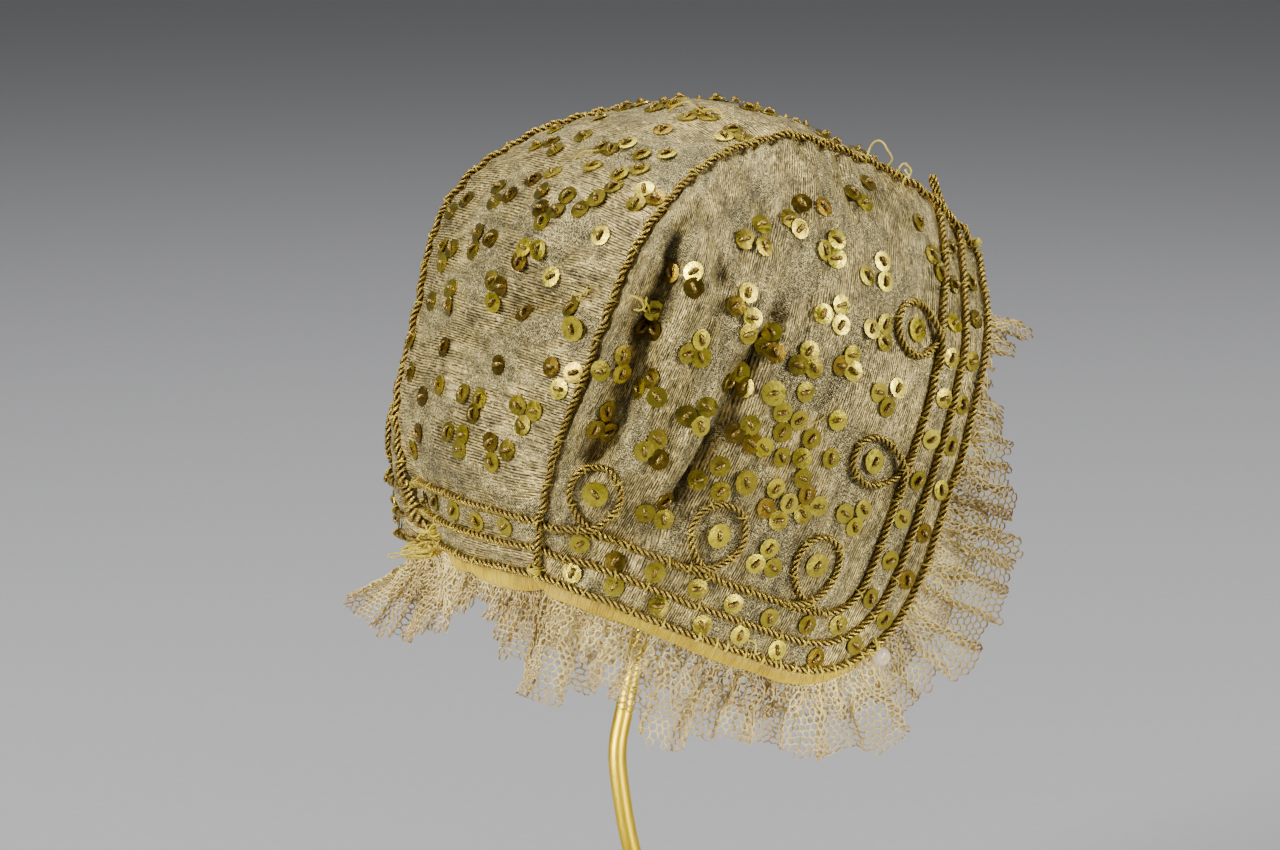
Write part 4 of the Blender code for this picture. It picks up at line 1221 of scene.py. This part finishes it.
def on_cloth(place, half, draw, tilt):
    """How a spangle lies at a place: flat on the cloth, tilted a little, its edge just clear of it."""
    near = [cloth_tree.find_nearest(place)[1]]
    across = near[0].orthogonal().normalized()
    for turn in range(0, 360, 60):
        off = Matrix.Rotation(math.radians(turn), 3, near[0]) @ across * half * 0.8
        near.append(cloth_tree.find_nearest(place + off)[1])
    normal = sum(near, Vector()).normalized()
    lean = Euler((draw.gauss(0, tilt), draw.gauss(0, tilt), draw.uniform(0, 6.28)))
    turned = normal.to_track_quat("Z", "Y").to_matrix() @ lean.to_matrix()
    lift = LEAST_LIFT
    for turn in range(0, 360, 45):
        around = Vector((math.cos(math.radians(turn)), math.sin(math.radians(turn)), 0))
        rim = place + turned @ around * half
        under, slope, face, away = cloth_tree.find_nearest(rim)
        lift = max(lift, LEAST_LIFT - (rim - under).dot(slope))
    return Matrix.Translation(place + normal * min(lift, MOST_LIFT)) @ turned.to_4x4()


class Scatter:
    """Spangles or stitches that are joined into one piece as they are placed."""

    def __init__(self, points, faces):
        self.pattern = points, faces
        self.points = []
        self.faces = []
        self.tone = []

    def place(self, matrix, size, tone):
        start = len(self.points)
        self.points += [matrix @ (point * size) for point in self.pattern[0]]
        self.faces += [tuple(start + index for index in face) for face in self.pattern[1]]
        self.tone += [tone] * len(self.pattern[0])


draw = random.Random(5)
sewn = []


def sew(place, half, groups):
    """Place one spangle and its stitch, with its own tone of gilt."""
    matrix = on_cloth(place, half, draw, 0.075)
    tone = draw.random()
    groups[0].place(matrix, half, tone)
    slant = Matrix.Rotation(draw.gauss(0.8, 0.5), 4, "Z")
    groups[1].place(matrix @ slant @ Matrix.Translation((0, 0, 0.02 * half)), PURL_SIZE, draw.random())
    sewn.append(place)


def clear_of(place, distance):
    return all((other - place).length > distance for other in sewn)


groups = {name: (Scatter(spangle_points, spangle_faces), Scatter(purl_points, purl_faces))
          for name in ("right_panel", "left_panel", "crown", "border", "loops_right", "loops_left")}
for side, middle, normal in loop_middles:
    sew(middle, LARGE_HALF, groups["loops_right" if side < 0 else "loops_left"])
for sprigs, large, near, far, side in ((PANEL_SPRIGS, PANEL_LARGE, "right_panel", "left_panel", 1),
                                       (STRIP_SPRIGS, STRIP_LARGE, "crown", "crown", 0)):
    spots = [(pixel, SPANGLE_HALF) for sprig in sprigs for pixel in sprig]
    spots += [(pixel, LARGE_HALF) for pixel in large]
    mirrored = []
    for (px, py), half in spots:
        place, normal = seen_at(px, py)
        if place:
            sew(place, half, groups[near])
            mirrored.append((Vector((-place.x, place.y, place.z)), half))
    for place, half in mirrored:
        place, normal = cast_in(place, side)
        over_border = rim_tree.find(place)[2] < BORDER_CLEAR if place else True
        if not over_border and clear_of(place, SPRIG_CLEAR if not side else 0.5):
            sew(place, half, groups[far])
#   the crown and forehead, which the camera doesn't see, get the same sprigs in staggered rows
for row_number, (y, z, half, rise, lean) in enumerate(smooth_curve(SEAM, 13)[1:-1]):
    columns = int(half * 2 / SPRIG_SPACING)
    for column in range(columns):
        x = (column - (columns - 1) / 2 + (0.25 if row_number % 2 else -0.25)) * SPRIG_SPACING
        out = Vector((0, y - POLE_Y, z - POLE_Z)).normalized()
        middle, normal = cast_in(Vector((x, y, z)) + out * rise, 0)
        over_border = rim_tree.find(middle)[2] < BORDER_CLEAR
        if abs(x) > half - 5 or over_border or not clear_of(middle, SPRIG_SPACING * 0.62):
            continue
        across = Vector((1, 0, 0))
        down = normal.cross(across)
        for turn in (90, 210, 330):
            angle = math.radians(turn + draw.gauss(0, 12))
            sew(cast_in(middle + (across * math.cos(angle) + down * math.sin(angle)) * SPRIG_HALF, 0)[0],
                SPANGLE_HALF, groups["crown"])
crossings = line_tree([row[0] for side in (-1, 1) for row in seam_lines[side]])[0]
for neck, face, spacing in BORDER_ROWS:
    path = inside_edge(neck, face)
    length = sum(math.dist(a, b) for a, b in zip(path, path[1:] + path[:1]))
    for row in resample(path, round(length / spacing), closed=True):
        place = cloth_tree.find_nearest(Vector(row) + Vector([draw.gauss(0, 0.35) for axis in range(3)]))[0]
        bare = neck < 8 and place.y > 30 and abs(place.x) < 27
        if crossings.find(place)[2] > SPANGLE_HALF + 0.8 and not bare:
            sew(place, SPANGLE_HALF, groups["border"])

gilt, tree, shader = new_finish("gilt spangle", Metallic=1.0)
place = put(tree, "TexCoord").outputs["Object"]
rubbed = speckle(tree, place, 1400.0, detail=3.0)
stain = speckle(tree, place, 420.0, detail=3.0, rough=0.6)
colour = colour_ramp(tree, kept(tree, "tone"), (0.0, 0.25, 0.155, 0.010), (0.12, 0.28, 0.17, 0.018),
                     (0.18, 0.33, 0.25, 0.024), (0.5, 0.43, 0.335, 0.034), (0.74, 0.60, 0.49, 0.050),
                     (0.88, 0.73, 0.585, 0.032), (1.0, 0.86, 0.70, 0.07))
dark = times(tree, spread(tree, stain, 0.50, 0.68), 0.6)
colour = blend(tree, dark, colour, (0.12, 0.075, 0.015))
light = times(tree, spread(tree, rubbed, 0.55, 0.7), 0.3)
colour = blend(tree, light, colour, (0.78, 0.65, 0.14))
tree.links.new(colour, shader.inputs["Base Color"])
tree.links.new(spread(tree, stain, 0.35, 0.65, 0.20, 0.46), shader.inputs["Roughness"])
bump(tree, shader, maths(tree, "ADD", rubbed, stain), 0.35, 0.0002)

purl, tree, shader = new_finish("gilt purl", Metallic=0.8)
place = put(tree, "TexCoord").outputs["Object"]
coil_and_painted_light = speckle(tree, place, 2600.0, detail=1.0)
# the speckle paints near-black between the coil's turns and bright gold on them: painted shade and painted
# glints
colour = blend(tree, spread(tree, coil_and_painted_light, 0.38, 0.66), (0.05, 0.026, 0.004), (0.78, 0.54, 0.12))
colour = blend(tree, times(tree, kept(tree, "tone"), 0.5), colour, (0.24, 0.14, 0.035))
tree.links.new(colour, shader.inputs["Base Color"])
tree.links.new(spread(tree, coil_and_painted_light, 0.3, 0.7, 0.5, 0.32), shader.inputs["Roughness"])
bump(tree, shader, coil_and_painted_light, 0.8, 0.0002)

for name, (spangles, stitches) in groups.items():
    plates = add_mesh(f"{name}_spangles", spangles.points, spangles.faces, {"tone": spangles.tone})
    smooth_faces(plates, 35)
    held = add_mesh(f"{name}_purl_stitches", stitches.points, stitches.faces, {"tone": stitches.tone})
    for piece, finish in ((plates, gilt), (held, purl)):
        piece.data.materials.append(finish)
        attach(piece, "root")
    if name == "loops_right":
        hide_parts(*[f"ring_spangle_{number}" for number in range(1, 6)])
    if name == "loops_left":
        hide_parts(*[f"ring_spangle_{number}" for number in range(6, 11)])


# The frill is one strip of machine-made cotton net with six-sided meshes, gathered tightly along its
# top edge and sewn in behind the lining's rim. It falls in deep flutes, and its cut edge has browned.
NET_CELL = 1.8
NET_THREAD = 0.60
NET_TUCK = 2.5
NET_TOP_Z = 46.0
NET_UNDER = LINING_UNDER + 1.3
#   how far along the hem from the front end each ridge or hollow is, how long the net is past the rim
#   there, and how steeply it stands off the line of the wall, in degrees
FLUTES = (
    (0, 9, 24), (3, 15.5, 38), (6, 11, 20), (9, 13, 36), (13, 8, 18), (17, 8, 16), (22, 8, 14),
    (26, 13, 34), (31, 15, 18), (37, 17.5, 28), (43, 20, 14), (48, 22.5, 30), (54, 25, 12), (60, 26, 33),
    (66, 29, 13), (72, 27.5, 33), (78, 29, 12), (83, 27, 31), (88, 23, 15), (93, 24, 8),
    (98, 27, 24), (105, 26, -2), (112, 22, 26), (119, 21, -4), (127, 21, 26), (134, 24, -8),
    (144, 28, 25), (154, 25, -10), (163, 19, 15), (171, 25, -5), (181, 29, 15), (189, 27, 14),
    (195, 23, 40), (200, 19, 42),
    (206, 14.5, 38), (213, 11.5, 42), (221, 16.5, 34), (229, 23, 30), (235, 27, 42), (240, 29, 34),
    (245, 31, 50), (250, 29.5, 44), (255, 27, 56), (262, 20, 40), (270, 14, 15), (278, 12.5, 5),
    (286, 13, 18), (295, 13.5, 0), (304, 18, 15),
)
#   the far side's front takes the flutes of this one's as far as this along the hem
MIRRORED_BEFORE = 128
#   the small gathers between the flutes: their spacing, and how deep and how wide they sway
GATHER_APART = 3.9
GATHER_DEEP = 1.2
GATHER_WIDE = 1.0
NET_STEP = 0.5
DEEP_STEPS = 42
NET_DEEPEST = 35.0
DEEP_STEP = (NET_TUCK + NET_DEEPEST) / DEEP_STEPS
MEASURED_AT = round((NET_TUCK + 15) / DEEP_STEP)

low = [frame_row for frame_row in frames if frame_row[0].z < NET_TOP_Z]
hem_length = sum(math.dist(a[0], b[0]) for a, b in zip(low, low[1:]))
hem_steps = round(hem_length / NET_STEP)
hem_rows = resample([(*point, *normal, *out) for point, normal, out in low], hem_steps)
flutes = [*FLUTES] + [(hem_length - at, length, flare) for at, length, flare in reversed(FLUTES)
                      if at < MIRRORED_BEFORE]


def flute_at(at):
    """The net's length and flare at a distance along the hem, eased from each flute to the next, and
    how far through its flute it is."""
    for index, (before, after) in enumerate(zip(flutes, flutes[1:])):
        if at <= after[0]:
            part = (at - before[0]) / (after[0] - before[0])
            soft = ease(part)
            return tuple(a + (b - a) * soft for a, b in zip(before[1:], after[1:])) + (index + part,)
    return (*flutes[-1][1:], len(flutes) - 1.0)


def crumple_at(spot, apart):
    """A small push out of place, much the same for spots that lie close together."""
    return Vector((noise.noise(spot), noise.noise(spot + Vector((apart, 0, 0))),
                   noise.noise(spot + Vector((0, apart, 0)))))


def hang_net(shorter, flatter, inward, shift, sway):
    """A grid of places down the net from each step along the hem, and its length at each."""
    grid = []
    lengths = []
    for index, row in enumerate(hem_rows):
        point, normal, out = Vector(row[:3]), Vector(row[3:6]).normalized(), Vector(row[6:]).normalized()
        along = (Vector(hem_rows[min(hem_steps, index + 1)][:3])
                 - Vector(hem_rows[max(0, index - 1)][:3])).normalized()
        at = index * hem_length / hem_steps
        length, flare, through = flute_at(min(hem_length, max(0.0, at + shift)))
        flare *= flatter
        lengths.append(length * shorter)
        clear = lining_shows(point) + 0.4
        reach = -NET_TUCK + 0.5
        rise = -NET_UNDER - inward
        column = []
        for deep in range(DEEP_STEPS + 1):
            down = deep * DEEP_STEP - NET_TUCK
            free = ease((reach - clear + 1.5) / 4)
            lean = math.radians(flare) * free * (0.55 + 0.45 * ease(down / 16))
            if deep:
                reach += DEEP_STEP * math.cos(lean)
                rise += DEEP_STEP * math.sin(lean)
            beat = 2 * math.pi * at / GATHER_APART + 1.6 * math.sin(at / 11 + shift)
            fading = free * (1 - 0.7 * ease(down / 18))
            over = sway * math.sin(2 * math.pi * through) * ease(down / 20)
            place = (point + out * reach + normal * (rise + GATHER_DEEP * math.cos(beat) * fading)
                     + along * (GATHER_WIDE * math.sin(2 * beat) * fading + over))
            crumple = crumple_at(place / 5.5 + Vector((shift, 0, 0)), 9) * 1.8
            crumple += crumple_at(place / 2.3, 5) * 0.5
            column.append(place + crumple * (free * (1 - 0.55 * ease((down - 6) / 12))))
        grid.append(column)
    return grid, lengths


def make_net(name, grid, lengths, draw):
    """Net of six-sided meshes laid on a grid of places, cut off at its length: the piece, the width
    of its flat strip, and its flat area."""
    walked = [0.0]
    for before, after in zip(grid, grid[1:]):
        walked.append(walked[-1] + (after[MEASURED_AT] - before[MEASURED_AT]).length)

    def column_at(across):
        low_index, high_index = 0, hem_steps
        while high_index - low_index > 1:
            middle = (low_index + high_index) // 2
            if walked[middle] <= across:
                low_index = middle
            else:
                high_index = middle
        part = (across - walked[low_index]) / (walked[high_index] - walked[low_index])
        return low_index, min(1.0, max(0.0, part))

    def place_at(across, down):
        column, part = column_at(across)
        deep = min(DEEP_STEPS - 0.001, max(0.0, (down + NET_TUCK) / DEEP_STEP))
        row = int(deep)
        near = grid[column][row].lerp(grid[column][row + 1], deep - row)
        far = grid[column + 1][row].lerp(grid[column + 1][row + 1], deep - row)
        return near.lerp(far, part)

    corner_reach = NET_CELL / math.sqrt(3)
    row_step = NET_CELL * math.sqrt(3) / 2
    net = bmesh.new()
    corners_at = {}
    ages = []
    cells = 0
    for row in range(round((NET_TUCK + NET_DEEPEST) / row_step)):
        for column in range(int(walked[-1] / NET_CELL) - 1):
            across = (column + 0.75 + 0.5 * (row % 2)) * NET_CELL
            down = -NET_TUCK + (row + 0.8) * row_step
            step, part = column_at(across)
            length = lengths[step] + (lengths[step + 1] - lengths[step]) * part
            if down + corner_reach > length + draw.uniform(-0.8, 0.5):
                continue
            verts = []
            for corner in range(6):
                angle = math.radians(30 + 60 * corner)
                a = across + corner_reach * math.cos(angle)
                d = down + corner_reach * math.sin(angle)
                key = round(a / (NET_CELL / 2)), round((d + NET_TUCK) / (corner_reach / 2))
                if key not in corners_at:
                    loose = Vector([draw.gauss(0, 0.06) for axis in range(3)])
                    corners_at[key] = net.verts.new(stand(place_at(a, d) + loose, drawn_in=False))
                    ages.append((corners_at[key].co.copy(), d / length))
                verts.append(corners_at[key])
            if len(set(verts)) == 6:
                net.faces.new(verts)
                cells += 1
    mesh = bpy.data.meshes.new(name)
    net.to_mesh(mesh)
    net.free()
    piece = new_piece(name, mesh)
    apply_modifier(piece, "WIREFRAME", thickness=NET_THREAD * MM, use_even_offset=False)
    tree = line_tree([place for place, age in ages])[0]
    mesh = piece.data
    mesh.attributes.new("age", "FLOAT", "POINT").data.foreach_set(
        "value", [ages[tree.find(vertex.co)[1]][1] for vertex in mesh.vertices])
    mesh.shade_smooth()
    return piece, walked[-1], cells * NET_CELL * row_step


cotton_net, tree, shader = new_finish("cotton net", Roughness=0.85, Sheen_Weight=0.3, Sheen_Roughness=0.5)
place = put(tree, "TexCoord").outputs["Object"]
patches = speckle(tree, place, 55.0, detail=3.0)
fluff = speckle(tree, place, 2200.0, detail=2.0)
colour = blend(tree, spread(tree, patches, 0.35, 0.60), (0.42, 0.28, 0.065), (0.88, 0.70, 0.25))
browned = spread(tree, times(tree, patches, 0.6, kept(tree, "age")), 0.95, 1.4)
colour = blend(tree, times(tree, browned, 0.8), colour, (0.33, 0.17, 0.045))
colour = blend(tree, times(tree, fluff, 0.22), colour, (0.95, 0.82, 0.40))
tree.links.new(colour, shader.inputs["Base Color"])
bump(tree, shader, fluff, 0.5, 0.0001)

#   each layer's length and flare as a share of the flutes', how far it is inside the other, how far
#   its flutes are shifted along the hem, and how far they fold over sideways
NET_LAYERS = (("net_frill", 1.0, 1.0, 0.0, 0.0, 2.8), ("net_frill_under", 0.66, 0.7, 1.1, 5.0, 2.0))
draw = random.Random(23)
for name, shorter, flatter, inward, shift, sway in NET_LAYERS:
    piece, width, area = make_net(name, *hang_net(shorter, flatter, inward, shift, sway), draw)
    piece.data.materials.append(cotton_net)
    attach(piece, "root")
    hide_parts("net_ruffle")


# The button is a small pale bead, cut flat behind, sewn over the hem at the right front corner with
# two turns of yellow thread that come up through its middle to the hem cord.
BUTTON_HALF = 2.8
BUTTON_RISE = 2.4
button_low, button_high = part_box("corner_button")
button_middle = (button_low + button_high) / 2
turn_back = PLACE.inverted()
middle = turn_back @ button_middle
hem_place, hem_up = min(border_lines["edge"], key=lambda row: (row[0] - middle).length)
outward = (middle - hem_place).normalized()
facing = (hem_up * 0.8 - outward * 0.2).normalized()
bpy.ops.object.select_all(action="DESELECT")
bpy.ops.mesh.primitive_uv_sphere_add(segments=28, ring_count=18, radius=1.0)
corner_bead = bpy.context.object
corner_bead.name = "corner_bead"
corner_bead.data.name = "corner_bead"
for vertex in corner_bead.data.vertices:
    x, y, z = vertex.co
    around = math.atan2(y, x)
    dimple = 0.34 * math.exp(-((x * x + y * y) / 0.05))
    height = (z if z > 0 else z * 0.28) * (1.0 - dimple) * (1 + 0.03 * math.sin(3 * around))
    vertex.co = Vector((x * BUTTON_HALF, y * BUTTON_HALF * 0.93, height * BUTTON_RISE))
turned = facing.to_track_quat("Z", "Y").to_matrix().to_4x4()
corner_bead.data.transform(PLACE @ Matrix.Translation(middle - facing * 0.2) @ turned)
corner_bead.data.update()
smooth_faces(corner_bead, 60)

pearl, tree, shader = new_finish("pale bead", Roughness=0.22, Coat_Weight=0.6, Coat_Roughness=0.2)
place = put(tree, "TexCoord").outputs["Object"]
cloud = speckle(tree, place, 350.0, detail=3.0)
crazed = put(tree, "TexVoronoi", {"Vector": place, "Scale": 700.0},
             feature="DISTANCE_TO_EDGE").outputs["Distance"]
colour = blend(tree, cloud, (0.50, 0.36, 0.21), (0.80, 0.66, 0.46))
colour = blend(tree, spread(tree, crazed, 0.0, 0.06, 0.45, 0.0), colour, (0.36, 0.22, 0.13))
tree.links.new(colour, shader.inputs["Base Color"])
bump(tree, shader, cloud, 0.2, 0.0001)
corner_bead.data.materials.append(pearl)
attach(corner_bead, "root")
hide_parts("corner_button")


def smooth_thread(path, steps):
    """A thread's points, eased through the places it passes."""
    return [Vector(row) for row in smooth_curve([tuple(place) for place in path], steps)]


bead_threads = Threads()
sideways = facing.cross(outward).normalized()
for start, end in ((-0.5, -1.5), (0.5, 1.1)):
    top = middle + facing * 1.5 + sideways * start * 0.5
    path = [top - facing * 0.7, top + facing * 0.15, top - outward * 1.2 + facing * 0.35,
            hem_place + hem_up * 1.5 + outward * 0.7 + sideways * end * 0.7,
            hem_place + hem_up * 1.45 - outward * 0.5 + sideways * end,
            hem_place - outward * 1.7 + sideways * end * 1.1]
    bead_threads.lay(smooth_thread(path, 16), 0.26, 0.85)
for lean in (-0.9, -0.2, 0.6):
    path = [hem_place + hem_up * (1.7 * math.sin(a))
            + (sideways * math.cos(a) + outward * lean * math.cos(a)) * 1.9 for a in HALF_TURN]
    bead_threads.lay(path, STITCH_HALF, 0.7)
bead_threads.finish("bead_threads")


# A few stitches have worked loose: a curl of yellow thread at the brow, a slack one over the crown,
# a tied one in the deep crease, threads that span from spangle to spangle, and the end of the hem
# cord, which stands off the brow in a small loop.
#   where each loose thread starts and ends in the photograph, how far it stands off and sways, in
#   millimetres, and how bright its yellow is
LOOSE_THREADS = (
    ((866, 160), (884, 170), 6.0, 2.5, 0.8), ((893, 172), (905, 180), 3.2, -1.5, 0.9),
    ((895, 178), (906, 176), 3.6, 0.8, 0.7), ((898, 172), (902, 188), 2.6, 0.9, 1.0),
    ((668, 112), (712, 116), 2.6, 1.5, 0.5), ((700, 112), (722, 120), 1.6, -1.2, 0.7),
    ((630, 296), (647, 309), 1.6, 0.8, 0.9), ((633, 309), (646, 297), 1.8, -0.6, 1.0),
    ((638, 298), (652, 315), 1.2, 0.5, 0.7), ((572, 300), (588, 286), 0.9, 0.7, 0.9),
    ((578, 303), (592, 291), 1.1, -0.6, 0.8), ((795, 430), (825, 415), 1.0, 0.4, 0.3),
    ((575, 160), (602, 150), 1.0, 0.6, 0.6), ((745, 640), (760, 652), 1.6, 1.0, 0.8),
    ((530, 572), (549, 578), 1.6, 0.5, 0.9), ((534, 579), (546, 570), 1.9, -0.6, 1.0),
    ((426, 520), (438, 532), 2.2, 1.0, 0.9), ((428, 531), (441, 525), 2.4, -0.8, 0.8),
    ((430, 522), (437, 536), 1.8, 0.6, 1.0),
)
loose_threads = Threads()
for start, end, stands, sways, tone in LOOSE_THREADS:
    places = []
    for step in range(9):
        part = step / 8
        place, normal = seen_at(start[0] + (end[0] - start[0]) * part, start[1] + (end[1] - start[1]) * part)
        if place:
            places.append((part, place, normal))
    if len(places) < 4:
        continue
    run = (places[-1][1] - places[0][1]).normalized()
    path = []
    for part, place, normal in places:
        stood = normal * (0.1 + stands * math.sin(math.pi * part))
        path.append(place + stood + normal.cross(run) * sways * math.sin(2 * math.pi * part))
    loose_threads.lay(smooth_thread(path, 24), STITCH_HALF, tone)
#   a tangle of thread ends at the left corner of the nape, where the camera sees it
TANGLE_PIXEL = (420, 527)


def seen_near(line, pixel):
    """The place of a laid line, and the way up there, that the camera sees nearest to a pixel."""
    return min(line, key=lambda row: math.dist(in_picture(row[0]), pixel))


tangle_place, tangle_up = seen_near(border_lines["edge"], TANGLE_PIXEL)
turned = PLACE.inverted().to_3x3()
draw = random.Random(31)
for number in range(12):
    right, up, near = draw.uniform(-3.4, 0.6), draw.uniform(-5.0, -2.6), draw.uniform(0.8, 2.0)
    wide, high, start = draw.uniform(0.6, 1.3), draw.uniform(0.5, 1.3), draw.uniform(0, 6)
    path = []
    for step in range(15):
        angle = start + 2 * math.pi * step / 9
        off = (view_right * (right + wide * math.cos(angle)) + view_up * (up + high * math.sin(angle))
               + view_back * (near + 0.5 * math.sin(1.7 * angle)))
        path.append(tangle_place + turned @ (off * MM))
    loose_threads.lay(smooth_thread(path, 40), STITCH_HALF, draw.uniform(0.3, 1.0))
loose_threads.finish("loose_threads")

#   the loop as the camera sees it, in millimetres to its right and upwards from the seam cord
BROW_LOOP = ((-2.2, -0.3), (-2.5, 2.0), (-3.6, 5.2), (-4.7, 8.2), (-4.7, 9.6), (-4.0, 9.8),
             (-3.5, 8.0), (-2.6, 5.0), (-1.4, 2.0), (-0.4, -0.6))
BROW_PIXEL = (946, 218)
brow_place, brow_up = seen_near(seam_lines[-1], BROW_PIXEL)
tail = []
for right, up in smooth_curve(BROW_LOOP, 26):
    off = turned @ ((view_right * right + view_up * up + view_back * (0.5 + 0.12 * right)) * MM)
    tail.append((brow_place + off, brow_up))
loose_cord = twisted("brow_cord_loop", tail, False, 0.34, 0.38, 4.2)
loose_cord.data.materials.append(gold_cord)
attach(loose_cord, "root")


# The stand is brass with a satin finish: a turned round foot, a rod bent to stand clear of the neck
# edge, and a shallow dome under the crown that the bonnet sits on. The rod is screwed into both.
FOOT_HALF = 0.045
FOOT_HIGH = 0.008
#   the turned steps of its top, from the edge inwards: how wide, and how far up
FOOT_STEPS = ((0.0015, 0.0), (0.0035, 0.0), (0.0015, -0.0004), (0.0225, 0.0), (0.010, 0.0002),
              (0.0018, 0.0))
ROD_HALF = 2.3
ROD_STEPS = 90
ROD_SIDES = 24
#   y, z of the rod's middle line in world millimetres, upwards from the foot
ROD_ROUTE = ((0.0, 7.5), (1.0, 24.0), (5.2, 42.0), (11.6, 61.0), (14.6, 76.0), (15.8, 88.0), (13.7, 98.5),
             (8.6, 118.0), (-6.6, 174.0), (-21.9, 228.8))
bpy.ops.object.select_all(action="DESELECT")
bpy.ops.mesh.primitive_cylinder_add(vertices=96, radius=FOOT_HALF, depth=FOOT_HIGH,
                                    location=(0, 0, FOOT_HIGH / 2), end_fill_type="NGON")
foot = bpy.context.object
foot.name = "brass_foot"
foot.data.name = "brass_foot"
bpy.ops.object.transform_apply(location=True)
bpy.ops.object.mode_set(mode="EDIT")
bpy.ops.mesh.select_all(action="DESELECT")
shape = bmesh.from_edit_mesh(foot.data)
for face in shape.faces:
    face.select_set(face.normal.z > 0.9)
bmesh.update_edit_mesh(foot.data)
for inset, rise in FOOT_STEPS:
    bpy.ops.mesh.inset(thickness=inset, depth=rise)
bpy.ops.object.mode_set(mode="OBJECT")
apply_modifier(foot, "BEVEL", width=0.0011, segments=3, limit_method="ANGLE",
               angle_limit=math.radians(40))
smooth_faces(foot, 40)

route = smooth_curve([(0.0, y, z) for y, z in ROD_ROUTE], ROD_STEPS)
rod_points = []
across = Vector((1, 0, 0))
for index, row in enumerate(route):
    along = (Vector(route[min(ROD_STEPS, index + 1)]) - Vector(route[max(0, index - 1)])).normalized()
    rise = across.cross(along)
    for side in range(ROD_SIDES):
        turn = 2 * math.pi * side / ROD_SIDES
        from_axis = (across * math.cos(turn) + rise * math.sin(turn)) * ROD_HALF
        rod_points.append(turn_back @ (MM * (Vector(row) + from_axis)))
rod = add_mesh("brass_rod", rod_points, tube_faces(len(route), ROD_SIDES, False))
smooth_faces(rod, 50)

brass, tree, shader = new_finish("satin brass", Metallic=1.0)
place = put(tree, "TexCoord").outputs["Object"]
brushed = speckle(tree, place, 1.0, (2600, 2600, 60), 3.0, 0.6)
tarnished = speckle(tree, place, 38.0, detail=4.0, rough=0.6)
colour = blend(tree, brushed, (0.54, 0.355, 0.002), (0.80, 0.57, 0.010))
colour = blend(tree, spread(tree, tarnished, 0.52, 0.72, 0.0, 0.5), colour, (0.28, 0.15, 0.006))
tree.links.new(colour, shader.inputs["Base Color"])
uneven = maths(tree, "ADD", brushed, tarnished)
tree.links.new(spread(tree, uneven, 0.7, 1.3, 0.36, 0.46), shader.inputs["Roughness"])
bump(tree, shader, brushed, 0.25, 0.00005)
for piece, node in ((foot, "stand_foot"), (rod, "stand_rod")):
    piece.data.materials.append(brass)
    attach(piece, "root")
    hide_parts(node)
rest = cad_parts["stand_rest"]
for slot in rest.material_slots:
    slot.material = brass


# The studio: a pale seamless paper floor, a broad soft light on each side of the camera, one
# overhead and a low one in front of the bonnet.
bpy.ops.object.select_all(action="DESELECT")
bpy.ops.mesh.primitive_plane_add(size=16, location=(0, 0, 0))
floor = bpy.context.object
floor.name = "paper_floor"
paper, tree, shader = new_finish("pale paper", Roughness=0.9)
place = put(tree, "TexCoord").outputs["Object"]
grain = speckle(tree, place, 240.0, detail=4.0)
tree.links.new(blend(tree, grain, (0.36, 0.36, 0.37), (0.40, 0.40, 0.41)), shader.inputs["Base Color"])
bump(tree, shader, grain, 0.1, 0.0003)
floor.data.materials.append(paper)
#   name, to the right, up and towards the camera of what it lights, size, and power
LAMPS = (
    ("left_softbox", (-1.05, 0.55, 0.75), 0.42, 21.0),
    ("right_softbox", (1.15, 0.30, 0.45), 0.42, 14.0),
    ("top_softbox", (-0.1, 1.35, -0.1), 0.6, 16.0),
    ("front_softbox", (0.9, -0.02, -0.9), 0.5, 4.0),
)


def add_lamp(name, spot, lit, size, power):
    """A square area light that faces what it lights."""
    bpy.ops.object.light_add(type="AREA", location=spot,
                             rotation=(spot - lit).to_track_quat("Z", "Y").to_euler())
    lamp = bpy.context.object
    lamp.name = name
    lamp.data.size = size
    lamp.data.energy = power
    return lamp


for name, (right, up, near), size, power in LAMPS:
    add_lamp(name, LOOKED_AT + view_right * right + view_up * up + view_back * near, LOOKED_AT, size, power)
#   two small lights beside the foot draw the rod's edges, and light nothing else
ROD_LIT_AT = Vector((0.0, 0.014, 0.072))
ROD_LAMP_HIGH = 0.055
ROD_LAMPS = (("left_rod_light", (-0.30, 0.28), 0.10), ("right_rod_light", (0.26, 0.30), 0.06))
for name, (right, near), power in ROD_LAMPS:
    spot = ROD_LIT_AT + view_right * right + view_back * near
    spot.z = ROD_LAMP_HIGH
    lamp = add_lamp(name, spot, ROD_LIT_AT, 0.09, power)
    lamp.visible_camera = False
    lamp.data.spread = math.radians(24)
world = bpy.data.worlds.new("studio")
world.use_nodes = True
background = world.node_tree.nodes["Background"]
background.inputs["Color"].default_value = (0.80, 0.81, 0.83, 1)
background.inputs["Strength"].default_value = 0.22
bpy.context.scene.world = world
